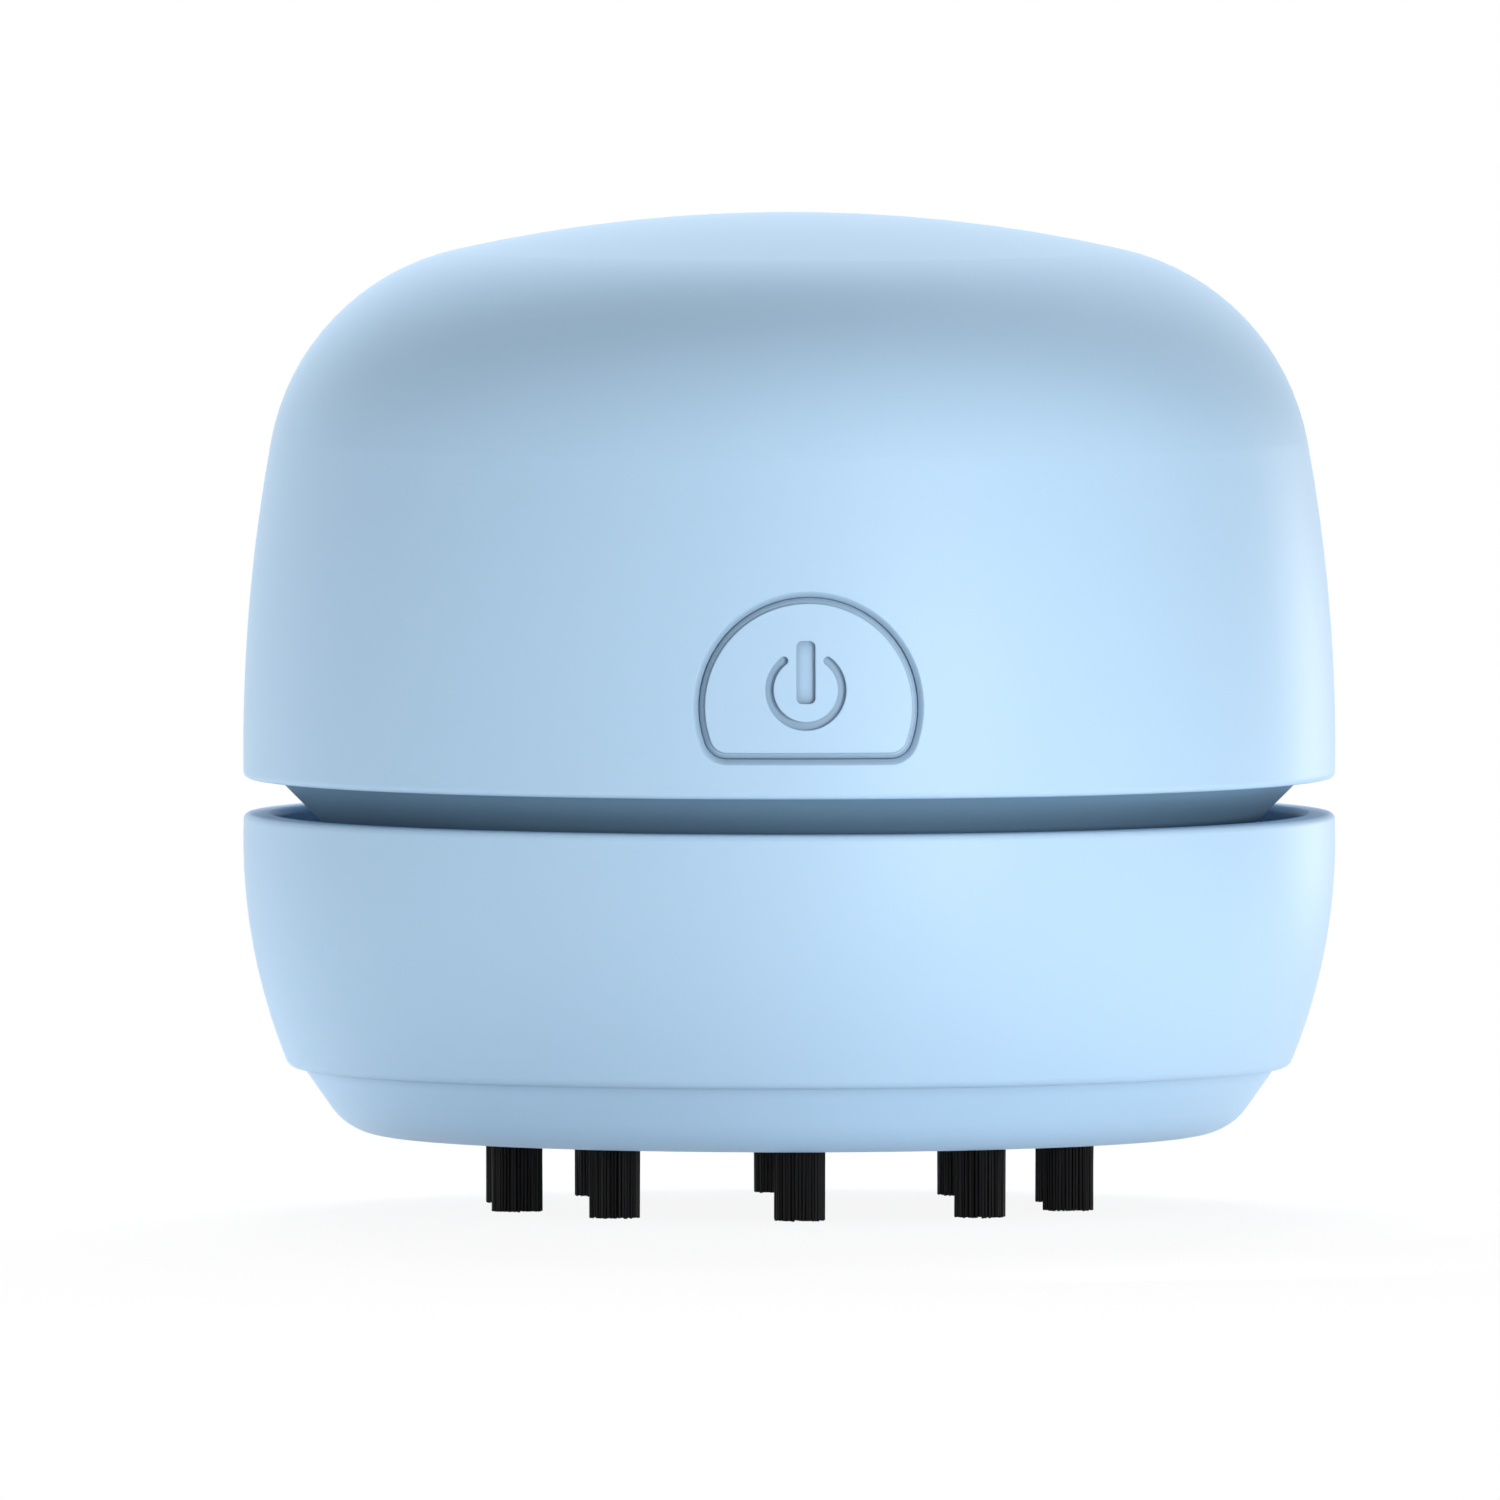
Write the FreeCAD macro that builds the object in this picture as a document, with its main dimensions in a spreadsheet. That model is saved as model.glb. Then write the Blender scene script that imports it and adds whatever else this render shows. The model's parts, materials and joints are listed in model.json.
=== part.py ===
import FreeCAD, Part
import math
import os

import Sketcher

# Desktop mini vacuum cleaner: a round body that stands on a ring of bristle tufts.
# All lengths are in millimetres and all angles in degrees. The body's axis is Z,
# the bristle tips stand at height zero, and the power button faces -Y.

SIZES = {
    # Outer form
    "body_radius": 40.0,            # widest radius, at the shell's foot and the bowl's rim
    "tuft_exposed": 5.4,            # free length of a bristle tuft below the brush base
    "base_depth": 4.9,              # brush base, from its foot to the seam with the bowl
    "bowl_depth": 18.6,             # dust bowl, from that seam to its rim
    "waist_gap": 2.6,               # open gap between the bowl's rim and the shell's foot
    "headroom": 3.95,               # from the motor's rear boss up to the inside of the crown
    "shell_wall": 2.4,
    "side_rise": 2.1,               # height above the foot where the shell's side is upright
    "side_radius": 125.4,           # the three arcs of the dome, from the foot to the crown
    "shoulder_radius": 17.5,
    "crown_radius": 110.7,
    "foot_round": 0.45,             # rounding of the shell's foot and the bowl's rim
    # Button window in the shell and the button in it
    "window_rise": 6.7,             # centre of the window's round part above the shell's foot
    "window_radius": 8.4,
    "window_flat": 4.2,             # from that centre down to the window's flat bottom
    "window_corner": 2.1,
    "window_edge": 0.42,            # bevel of the window's rim, inside that outline
    "button_gap": 0.14,             # groove between window and button, all round
    "button_edge": 0.26,            # bevel of the button's rim
    "button_travel": 1.2,
    "guide_wall": 1.2,              # collar inside the shell that guides the button
    "guide_set_in": 1.6,            # how far the guide reaches in from the shell's inside
    "stem_rise": 0.6,               # stem above the deck
    "stem_width": 8.8,
    "stem_height": 5.4,
    "stem_depth": 2.4,              # button stem, from the shell's inside to its flange
    "flange_overlap": 1.0,          # how far the retaining flange stands out past the window
    "flange_thickness": 1.0,
    "push_pad_radius": 2.5,
    "push_pad_height": 0.7,
    # Fan frame
    "shell_fit": 0.1,               # radial fit between the frame's lip and the shell
    "neck_height": 3.5,             # the 45 degree neck below the shell
    "lip_height": 1.0,
    "frame_set_back": 2.2,          # frame's outer wall stands back from the shell's inside
    "frame_wall": 1.4,
    "floor_wall": 1.5,
    "exhaust_ring_width": 4.0,      # ring-shaped room around the fan chamber
    "chamber_wall": 2.0,
    "chamber_height": 8.5,
    "deck_wall": 2.0,
    "collar_depth": 9.0,            # collar that reaches down into the dust bowl
    "collar_ledge": 1.0,            # step under the fan chamber that the fan cover seats on
    "collar_wall": 1.8,
    "air_window_width": 9.0,        # openings from the fan chamber to the exhaust ring
    "air_window_height": 5.5,
    "air_window_sill": 0.5,
    "air_window_count": 12,
    "exhaust_slot_width": 2.2,      # slots in the exhaust ring's floor
    "exhaust_slot_length": 2.4,
    "exhaust_slot_edge": 0.4,
    "exhaust_slot_count": 24,
    # Bayonet between collar and dust bowl
    "lug_count": 3,
    "lug_angle": 10.0,
    "lug_reach": 1.8,
    "lug_height": 2.0,
    "lug_rise": 3.2,                # lug above the collar's foot
    "lug_gap": 0.2,                 # clearance of a lug in its slot
    "lug_gap_angle": 1.0,
    "twist_angle": 25.0,
    # Seal
    "seal_rise": 0.8,               # seal groove above the collar's foot
    "seal_height": 1.5,
    "seal_groove_depth": 0.85,
    "seal_gap": 0.05,
    "seal_bulge": 0.5,
    # Dust bowl
    "bowl_wall": 2.3,
    "bowl_side_radius": 43.0,
    "bowl_upright_drop": 1.9,       # below the rim, where the bowl's side is upright
    "bowl_floor": 1.7,
    "bowl_foot_round": 0.8,
    "ring_gap": 0.6,                # between the collar and the bowl's inner ring
    "ring_wall": 2.4,
    "ring_height": 14.5,
    "inlet_length": 20.0,           # the oblong suction inlet
    "inlet_width": 12.0,
    "inlet_wall": 1.5,
    "inlet_height": 7.0,            # chimney above the bowl's floor
    # Brush base
    "base_set_in": 4.4,             # base's top edge, in from the widest radius
    "base_corner_radius": 4.6,
    "base_flank_angle": 55.0,
    "mouth_length": 27.0,           # flared mouth of the inlet in the base's underside
    "mouth_width": 19.0,
    "base_screw_share": 0.7584,     # ring of the base's screws, as a share of its top radius
    "base_boss_radius": 2.6,
    "base_boss_height": 4.5,
    "base_screw_count": 4,
    # Bristle tufts
    "tuft_ring_share": 0.5955,      # ring of the tufts, as a share of the base's top radius
    "tuft_angle_near": 39.0,        # places of the tufts each side of the front one
    "tuft_angle_wide": 72.0,
    "tuft_radius": 1.885,
    "tuft_gap": 0.015,
    "tuft_socket_depth": 3.9,
    "tuft_tip_round": 0.45,
    # Screws, all of one thread
    "thread_radius": 1.0,
    "thread_gap": 0.03,             # between a thread and its hole
    "pilot_spare": 0.3,             # a blind hole is that much deeper than its screw
    "screw_hole_gap": 0.15,
    "screw_head_radius": 1.6,
    "screw_head_height": 1.3,
    "screw_head_gap": 0.2,
    "frame_screw_length": 10.0,
    "frame_screw_land": 3.5,
    "frame_screw_count": 4,
    "pillar_radius": 2.5,
    "pillar_rib": 1.5,
    "cover_screw_set_in": 1.1,      # from the fan chamber's wall
    "cover_screw_length": 6.0,
    "cover_screw_count": 3,
    "cover_boss_radius": 2.4,
    "small_screw_length": 4.0,
    "base_screw_length": 8.0,
    "base_head_recess": 2.0,
    "countersink_radius": 1.9,
    "countersink_gap": 0.1,
    # Fan cover, impeller and motor
    "cover_wall": 1.2,
    "cover_gap": 0.2,
    "eye_radius": 12.0,
    "eye_lip": 0.6,
    "eye_lip_width": 1.2,
    "impeller_gap": 0.7,            # between the blades and the cover's screw bosses
    "impeller_clearance": 1.0,      # blades above the fan cover
    "blade_height": 4.6,
    "blade_wall": 1.0,
    "blade_count": 9,
    "blade_start_radius": 9.0,
    "blade_curve_radius": 15.0,
    "blade_sweep_angle": 50.0,
    "back_plate": 1.0,
    "hub_tip_radius": 2.6,
    "hub_root_radius": 10.5,
    "hub_flare_radius": 9.0,
    "shaft_radius": 1.0,
    "shaft_gap": 0.05,
    "motor_radius": 12.0,
    "can_height": 24.2,
    "can_round": 1.0,
    "front_boss_radius": 3.1,
    "front_boss_height": 1.5,
    "boss_gap": 0.1,
    "end_cap_height": 2.5,
    "end_cap_inset": 0.9,
    "rear_boss_radius": 4.5,
    "rear_boss_height": 1.3,
    "motor_ring_wall": 1.3,
    "motor_ring_height": 2.5,
    "motor_gap": 0.15,
    "motor_screw_ring": 8.0,
    "terminal_width": 2.4,
    "terminal_thickness": 0.5,
    "terminal_height": 3.2,
    "terminal_offset": 8.6,
    # Filter
    "filter_gap": 0.2,
    "filter_rim": 2.2,
    "filter_height": 3.5,
    "filter_set_down": 0.5,         # below the fan cover
    "filter_spoke_width": 2.0,
    "filter_spoke_height": 1.3,
    "filter_hub_radius": 4.0,
    "filter_tab_height": 3.0,
    "filter_tab_length": 9.0,
    "filter_tab_thickness": 1.6,
    # Switch
    "switch_width": 5.8,
    "switch_depth": 6.0,
    "switch_clear": 0.3,            # between the pressed button and the switch
    "plunger_width": 2.6,
    "plunger_gap": 0.1,
    "plunger_inside": 1.4,
    "switch_board_width": 18.0,
    "switch_board_height": 9.0,
    "board_thickness": 1.6,
    "board_gap": 0.1,
    "post_width": 2.4,
    "post_depth": 4.4,
    "post_height": 8.0,
    # Charge board and socket
    "charge_board_width": 20.0,
    "charge_board_depth": 13.0,
    "charge_board_set_in": 2.1,     # its rear edge, in from the shell's inside
    "charge_board_thickness": 1.2,
    "standoff_height": 1.5,
    "standoff_radius": 2.3,
    "standoff_spread": 7.6,         # each side of the middle
    "standoff_set_in": 3.0,         # from the board's front edge
    "socket_width": 8.94,
    "socket_height": 3.26,
    "socket_length": 7.35,
    "socket_wall": 0.3,
    "socket_set_in": 1.1,           # socket mouth, in from the widest radius
    "socket_gap": 0.2,
    "tongue_width": 6.7,
    "tongue_thickness": 0.7,
    "tongue_length": 5.2,
    "tongue_base": 1.2,
    "light_offset": 7.8,
    "light_radius": 0.9,
    "light_gap": 0.1,
    "light_set_in": 1.5,            # light pipe's end, in from the widest radius
    "light_foot": 2.0,
    "chip_length": 5.0,
    "chip_width": 4.0,
    "chip_height": 1.3,
    # Battery
    "cell_thickness": 10.0,
    "cell_length": 35.0,
    "cell_height": 23.5,
    "cell_round": 1.6,
    "cell_offset": 20.0,            # middle of the cell from the axis, towards -X
    "pad_thickness": 1.0,
    "tray_wall": 1.2,
    "tray_height": 3.5,
    "cell_gap": 0.2,
    # Leads
    "lead_radius": 0.6,
    "lead_bend": 3.0,
    "lead_bend_share": 0.45,        # most of a straight run that a bend may take
    "lead_pitch": 2.0,
    "lead_clear": 3.0,
    "lead_rise": 8.0,
    "lead_pad_set_in": 1.0,
    "lead_exit_drop": 5.0,
    # One overrun for every cut
    "overrun": 1.0,
}


class Size:
    """A length, angle or count with the sheet expression that gives it."""

    def __init__(self, value, text):
        self.value = value
        self.text = text

    def __add__(self, other):
        other = size_of(other)
        return Size(self.value + other.value, f"({self.text} + {other.text})")

    def __radd__(self, other):
        return size_of(other) + self

    def __sub__(self, other):
        other = size_of(other)
        return Size(self.value - other.value, f"({self.text} - {other.text})")

    def __rsub__(self, other):
        return size_of(other) - self

    def __mul__(self, other):
        other = size_of(other)
        return Size(self.value * other.value, f"({self.text} * {other.text})")

    def __rmul__(self, other):
        return size_of(other) * self

    def __truediv__(self, other):
        other = size_of(other)
        return Size(self.value / other.value, f"({self.text} / {other.text})")

    def __rtruediv__(self, other):
        return size_of(other) / self

    def __neg__(self):
        return 0 - self


def size_of(thing):
    if isinstance(thing, Size):
        return thing
    return Size(thing, f"({thing})" if thing < 0 else str(thing))


def root(size):
    return Size(math.sqrt(size.value), f"sqrt({size.text})")


def sine(angle):
    angle = size_of(angle)
    return Size(math.sin(math.radians(angle.value)), f"sin({angle.text})")


def cosine(angle):
    angle = size_of(angle)
    return Size(math.cos(math.radians(angle.value)), f"cos({angle.text})")


class Named:
    """Every name of the sheet as a Size."""


Vector = FreeCAD.Vector
Rotation = FreeCAD.Rotation
Placement = FreeCAD.Placement

doc = FreeCAD.newDocument("MiniVacuum")
sheet = doc.addObject("Spreadsheet::Sheet", "Sizes")
s = Named()
for row, (alias, number) in enumerate(SIZES.items(), 1):
    sheet.set(f"A{row}", alias)
    sheet.set(f"B{row}", str(number))
    sheet.setAlias(f"B{row}", alias)
    setattr(s, alias, Size(number, f"Sizes.{alias}"))
doc.recompute()

# Levels up the axis
base_foot = s.tuft_exposed
bowl_foot = base_foot + s.base_depth
rim_level = bowl_foot + s.bowl_depth
shell_foot = rim_level + s.waist_gap
neck_foot = shell_foot - s.neck_height
chamber_top = neck_foot + s.chamber_height
deck_level = chamber_top + s.deck_wall
can_top = deck_level + s.can_height
end_cap_top = can_top + s.end_cap_height
motor_top = end_cap_top + s.rear_boss_height
crown_level = motor_top + s.headroom + s.shell_wall
shell_height = crown_level - shell_foot
collar_foot = neck_foot - s.collar_depth
bowl_floor_level = bowl_foot + s.bowl_floor
ring_top = bowl_floor_level + s.ring_height
window_level = shell_foot + s.window_rise

# Radii that several pieces share
shell_inside = s.body_radius - s.shell_wall
guide_end = shell_inside - s.guide_set_in
frame_radius = shell_inside - s.frame_set_back
plenum_outside = frame_radius - s.frame_wall
plenum_inside = plenum_outside - s.exhaust_ring_width
frame_screw_ring = (plenum_outside + plenum_inside) / 2
chamber_radius = plenum_inside - s.chamber_wall
cover_screw_ring = chamber_radius - s.cover_screw_set_in
impeller_radius = cover_screw_ring - s.cover_boss_radius - s.impeller_gap
collar_inside = chamber_radius + s.collar_ledge
collar_radius = collar_inside + s.collar_wall
ring_inside = collar_radius + s.ring_gap
ring_radius = ring_inside + s.ring_wall
lug_radius = collar_radius + s.lug_reach
base_top_radius = s.body_radius - s.base_set_in
base_screw_ring = base_top_radius * s.base_screw_share
tuft_ring_radius = base_top_radius * s.tuft_ring_share
charge_board_edge = shell_inside - s.charge_board_set_in
socket_mouth = s.body_radius - s.socket_set_in
pilot_radius = s.thread_radius + s.thread_gap
screw_hole_radius = s.thread_radius + s.screw_hole_gap
head_hole_radius = s.screw_head_radius + s.screw_head_gap


# Helpers for binding sizes to objects

def bind(thing, prop, size):
    thing.setExpression(prop, size_of(size).text)


def place(thing, spot, rotation=None):
    """Put an object at a spot whose three coordinates follow the sheet."""
    spot = [size_of(coordinate) for coordinate in spot]
    rotation = rotation or Rotation()
    thing.Placement = Placement(Vector(*[coordinate.value for coordinate in spot]), rotation)
    for axis, coordinate in zip("xyz", spot):
        bind(thing, f"Placement.Base.{axis}", coordinate)


def polar(radius, angle):
    return radius * cosine(angle), radius * sine(angle)


ALONG_Y = Rotation(Vector(-1, 0, 0), 90)


# Helpers for Part primitives and booleans

def cylinder(name, radius, height, spot, rotation=None):
    thing = doc.addObject("Part::Cylinder", name)
    bind(thing, "Radius", radius)
    bind(thing, "Height", height)
    place(thing, spot, rotation)
    return thing


def cone(name, low_radius, high_radius, height, spot, rotation=None):
    thing = doc.addObject("Part::Cone", name)
    bind(thing, "Radius1", low_radius)
    bind(thing, "Radius2", high_radius)
    bind(thing, "Height", height)
    place(thing, spot, rotation)
    return thing


def block(name, low, high, rotation=None):
    """A box between two corners."""
    low = [size_of(coordinate) for coordinate in low]
    high = [size_of(coordinate) for coordinate in high]
    thing = doc.addObject("Part::Box", name)
    bind(thing, "Length", high[0] - low[0])
    bind(thing, "Width", high[1] - low[1])
    bind(thing, "Height", high[2] - low[2])
    place(thing, low, rotation)
    return thing


def fuse(name, things):
    thing = doc.addObject("Part::MultiFuse", name)
    thing.Shapes = things
    return thing


def cut(name, base, tool):
    thing = doc.addObject("Part::Cut", name)
    thing.Base = base
    thing.Tool = tool
    return thing


def common(name, first, second):
    thing = doc.addObject("Part::Common", name)
    thing.Base = first
    thing.Tool = second
    return thing


def group(name, things):
    thing = doc.addObject("Part::Compound", name)
    thing.Links = things
    return thing


# Helpers for bodies made of sketches and features

def new_body(name):
    return doc.addObject("PartDesign::Body", name)


def origin_feature(body, role):
    for feature in body.Origin.OriginFeatures:
        if feature.Role == role:
            return feature
    raise RuntimeError(f"no {role} in {body.Name}")


def sketch_on(body, name, role, offset=0, turn=0):
    """A sketch on an origin plane, moved along its normal and turned about its own upright."""
    sketch = body.newObject("Sketcher::SketchObject", name)
    sketch.AttachmentSupport = [(origin_feature(body, role), "")]
    sketch.MapMode = "FlatFace"
    offset = size_of(offset)
    turn = size_of(turn)
    turned = Rotation(Vector(0, 1, 0), turn.value)
    sketch.AttachmentOffset = Placement(Vector(0, 0, offset.value), turned)
    bind(sketch, "AttachmentOffset.Base.z", offset)
    if turn.value:
        bind(sketch, "AttachmentOffset.Rotation.Angle", turn)
    return sketch


def flat_sketch(body, name, level):
    return sketch_on(body, name, "XY_Plane", offset=level)


def upright_sketch(body, name, turn=0):
    return sketch_on(body, name, "XZ_Plane", turn=turn)


def arc_between(start, end, radius):
    """The lesser arc from start to end, turning left where the radius is positive."""
    chord = end - start
    middle = (start + end) * 0.5
    across = Vector(-chord.y, chord.x, 0).normalize()
    rise = math.sqrt(max(radius * radius - chord.Length * chord.Length / 4, 0))
    centre = middle + across * math.copysign(rise, radius)
    circle = Part.Circle(centre, Vector(0, 0, 1), abs(radius))
    if radius < 0:
        start, end = end, start
    first = math.atan2(start.y - centre.y, start.x - centre.x)
    last = math.atan2(end.y - centre.y, end.x - centre.x)
    if last <= first:
        last += 2 * math.pi
    return Part.ArcOfCircle(circle, first, last)


def tie_point(sketch, edge, end, x, y):
    for kind, size in (("DistanceX", size_of(x)), ("DistanceY", size_of(y))):
        number = sketch.addConstraint(Sketcher.Constraint(kind, edge, end, size.value))
        bind(sketch, f"Constraints[{number}]", size)


def tie_radius(sketch, edge, radius):
    number = sketch.addConstraint(Sketcher.Constraint("Radius", edge, radius.value))
    bind(sketch, f"Constraints[{number}]", radius)


def draw(sketch, corners):
    """Draw a closed outline. A corner is (x, y), or (x, y, radius) where an arc arrives."""
    corners = [tuple(size_of(number) for number in corner) for corner in corners]
    points = [Vector(corner[0].value, corner[1].value, 0) for corner in corners]
    first = sketch.GeometryCount
    ends = []
    for number, corner in enumerate(corners):
        start = points[number - 1]
        end = points[number]
        if len(corner) == 3:
            sketch.addGeometry(arc_between(start, end, corner[2].value), False)
            ends.append((1, 2) if corner[2].value > 0 else (2, 1))
        else:
            sketch.addGeometry(Part.LineSegment(start, end), False)
            ends.append((1, 2))
    for number, corner in enumerate(corners):
        edge = first + number
        following = (number + 1) % len(corners)
        tie = Sketcher.Constraint("Coincident", edge, ends[number][1], first + following, ends[following][0])
        sketch.addConstraint(tie)
        tie_point(sketch, edge, ends[number][1], corner[0], corner[1])
        if len(corner) == 3:
            radius = corner[2] if corner[2].value > 0 else -corner[2]
            tie_radius(sketch, edge, radius)


def draw_circle(sketch, x, y, radius):
    x = size_of(x)
    y = size_of(y)
    circle = Part.Circle(Vector(x.value, y.value, 0), Vector(0, 0, 1), radius.value)
    edge = sketch.addGeometry(circle, False)
    tie_point(sketch, edge, 3, x, y)
    tie_radius(sketch, edge, radius)


def draw_oblong(sketch, length, width):
    """Two half rounds joined by straight sides, long way along X."""
    reach = (length - width) / 2
    half = width / 2
    draw(sketch, [
        (reach, -half),
        (reach + half, 0, half),
        (reach, half, half),
        (-reach, half),
        (-reach - half, 0, half),
        (-reach, -half, half),
    ])


def draw_rectangle(sketch, low, high):
    draw(sketch, [(high[0], low[1]), (high[0], high[1]), (low[0], high[1]), (low[0], low[1])])


def draw_button_outline(sketch, grow):
    """A circle with a flat bottom and rounded corners, all its edges moved out by grow."""
    radius = s.window_radius + grow
    flat = s.window_flat + grow
    corner = s.window_corner + grow
    drop = flat - corner
    half_flat = root((radius - corner) * (radius - corner) - drop * drop)
    share = radius / (radius - corner)
    draw(sketch, [
        (half_flat, window_level - flat),
        (half_flat * share, window_level - drop * share, corner),
        (0, window_level + radius, radius),
        (-half_flat * share, window_level - drop * share, radius),
        (-half_flat, window_level - flat, corner),
    ])


def pad(body, sketch, length, name, reverse=False):
    feature = body.newObject("PartDesign::Pad", name)
    feature.Profile = sketch
    bind(feature, "Length", length)
    feature.Reversed = reverse
    return feature


def pocket(body, sketch, depth, name, reverse=False):
    """A pocket that goes down from its sketch, or up where reversed."""
    feature = body.newObject("PartDesign::Pocket", name)
    feature.Profile = sketch
    bind(feature, "Length", depth)
    feature.Reversed = reverse
    return feature


def revolve(body, sketch, name, angle=360):
    feature = body.newObject("PartDesign::Revolution", name)
    feature.Profile = sketch
    feature.ReferenceAxis = (sketch, ["V_Axis"])
    bind(feature, "Angle", angle)
    return feature


def groove(body, sketch, name, angle=360):
    feature = body.newObject("PartDesign::Groove", name)
    feature.Profile = sketch
    feature.ReferenceAxis = (sketch, ["V_Axis"])
    bind(feature, "Angle", angle)
    return feature


def around(body, feature, count, name):
    """Copies of a feature, evenly spaced about the axis."""
    pattern = body.newObject("PartDesign::PolarPattern", name)
    pattern.Originals = [feature]
    pattern.Axis = (origin_feature(body, "Z_Axis"), [""])
    pattern.Angle = 360
    bind(pattern, "Occurrences", count)
    body.Tip = pattern
    return pattern


def round_edges(body, wanted, radius, name):
    """Fillet the edges of the body's tip for which wanted(edge) is true."""
    doc.recompute()
    base = body.Tip
    names = [f"Edge{number}" for number, edge in enumerate(base.Shape.Edges, 1) if wanted(edge)]
    feature = body.newObject("PartDesign::Fillet", name)
    feature.Base = (base, names)
    bind(feature, "Radius", radius)
    return feature


def circle_at(level, radius):
    """A test for the round edge about the axis at a level and a radius."""
    def wanted(edge):
        if edge.Degenerated or not isinstance(edge.Curve, Part.Circle):
            return False
        curve = edge.Curve
        if abs(curve.Axis.z) < 0.99:
            return False
        near_axis = math.hypot(curve.Center.x, curve.Center.y) < 1e-6
        at_level = abs(curve.Center.z - level.value) < 1e-6
        return near_axis and at_level and abs(curve.Radius - radius.value) < 1e-3
    return wanted


# Dome: three tangent arcs, worked out once for the outer and the inner face

side_centre_x = s.body_radius - s.side_radius
side_centre_z = shell_foot + s.side_rise
crown_centre_z = crown_level - s.crown_radius


def shoulder_centre():
    """Where the shoulder's centre lies, inside both the side arc and the crown arc."""
    side_reach = (s.side_radius - s.shoulder_radius).value
    crown_reach = (s.crown_radius - s.shoulder_radius).value
    side = Vector(side_centre_x.value, side_centre_z.value, 0)
    crown = Vector(0, crown_centre_z.value, 0)
    apart = crown - side
    along = (side_reach ** 2 - crown_reach ** 2 + apart.Length ** 2) / (2 * apart.Length)
    across = math.sqrt(side_reach ** 2 - along ** 2)
    direction = Vector(apart).normalize()
    return side + direction * along + Vector(-direction.y, direction.x, 0) * across


def draw_dome_face(sketch, depth, foot):
    """The side, shoulder and crown arcs at a depth under the outer face; the numbers of the arcs."""
    side = Vector(side_centre_x.value, side_centre_z.value, 0)
    crown = Vector(0, crown_centre_z.value, 0)
    shoulder = shoulder_centre()
    depth = size_of(depth)
    places = [(side, s.side_radius - depth), (shoulder, s.shoulder_radius - depth), (crown, s.crown_radius - depth)]
    turns = [
        math.asin((foot.value - side.y) / places[0][1].value),
        math.atan2(shoulder.y - side.y, shoulder.x - side.x),
        math.atan2(shoulder.y - crown.y, shoulder.x - crown.x),
        math.pi / 2,
    ]
    arcs = []
    for number, (centre, radius) in enumerate(places):
        circle = Part.Circle(centre, Vector(0, 0, 1), radius.value)
        arcs.append(sketch.addGeometry(Part.ArcOfCircle(circle, turns[number], turns[number + 1]), False))
        tie_radius(sketch, arcs[-1], radius)
    tie_point(sketch, arcs[0], 3, side_centre_x, side_centre_z)
    tie_point(sketch, arcs[2], 3, 0, crown_centre_z)
    sketch.addConstraint(Sketcher.Constraint("Tangent", arcs[0], 2, arcs[1], 1))
    sketch.addConstraint(Sketcher.Constraint("Tangent", arcs[1], 2, arcs[2], 1))
    number = sketch.addConstraint(Sketcher.Constraint("DistanceY", arcs[0], 1, foot.value))
    bind(sketch, f"Constraints[{number}]", foot)
    number = sketch.addConstraint(Sketcher.Constraint("DistanceX", arcs[2], 2, 0))
    return arcs


def join(sketch, first, first_end, second, second_end):
    """A straight edge between the ends of two edges."""
    start = sketch.getPoint(first, first_end)
    end = sketch.getPoint(second, second_end)
    edge = sketch.addGeometry(Part.LineSegment(start, end), False)
    sketch.addConstraint(Sketcher.Constraint("Coincident", first, first_end, edge, 1))
    sketch.addConstraint(Sketcher.Constraint("Coincident", edge, 2, second, second_end))
    return edge


def make_dome_wall():
    """The moulded dome before its openings."""
    body = new_body("dome_wall")
    sketch = upright_sketch(body, "dome_section")
    outer = draw_dome_face(sketch, 0, shell_foot)
    inner = draw_dome_face(sketch, s.shell_wall, shell_foot)
    join(sketch, outer[2], 2, inner[2], 2)
    join(sketch, inner[0], 1, outer[0], 1)
    revolve(body, sketch, "dome_turned")
    foot_radius = side_centre_x + root(s.side_radius * s.side_radius - s.side_rise * s.side_rise)
    round_edges(body, circle_at(shell_foot, foot_radius), s.foot_round, "dome_foot_round")
    return body


def make_dome_filling():
    """All the room inside the dome up to the middle of its wall, which trims what stands in it."""
    body = new_body("dome_filling")
    sketch = upright_sketch(body, "filling_section")
    arcs = draw_dome_face(sketch, s.shell_wall / 2, shell_foot)
    top = sketch.getPoint(arcs[2], 2)
    foot = sketch.getPoint(arcs[0], 1)
    low = Vector(0, foot.y, 0)
    upright = sketch.addGeometry(Part.LineSegment(top, low), False)
    flat = sketch.addGeometry(Part.LineSegment(low, foot), False)
    sketch.addConstraint(Sketcher.Constraint("Coincident", arcs[2], 2, upright, 1))
    sketch.addConstraint(Sketcher.Constraint("Coincident", upright, 2, flat, 1))
    sketch.addConstraint(Sketcher.Constraint("Coincident", flat, 2, arcs[0], 1))
    sketch.addConstraint(Sketcher.Constraint("Vertical", upright))
    sketch.addConstraint(Sketcher.Constraint("Horizontal", flat))
    revolve(body, sketch, "filling_turned")
    return body


def button_prism(name, grow, near, far):
    """The button's outline, grown, as a bar from the distance near to far in front of the axis."""
    body = new_body(name)
    sketch = sketch_on(body, f"{name}_outline", "XZ_Plane", offset=near)
    draw_button_outline(sketch, grow)
    pad(body, sketch, far - near, f"{name}_bar")
    return body


dome_wall = make_dome_wall()
dome_filling = make_dome_filling()


def on_dome_face(point):
    """Whether a point lies on one of the three arcs of the dome's outer face."""
    out = math.hypot(point.x, point.y)
    arcs = (
        (Vector(side_centre_x.value, side_centre_z.value, 0), s.side_radius),
        (shoulder_centre(), s.shoulder_radius),
        (Vector(0, crown_centre_z.value, 0), s.crown_radius),
    )
    return any(abs(math.hypot(out - centre.x, point.z - centre.y) - radius.value) < 1e-4 for centre, radius in arcs)


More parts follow.
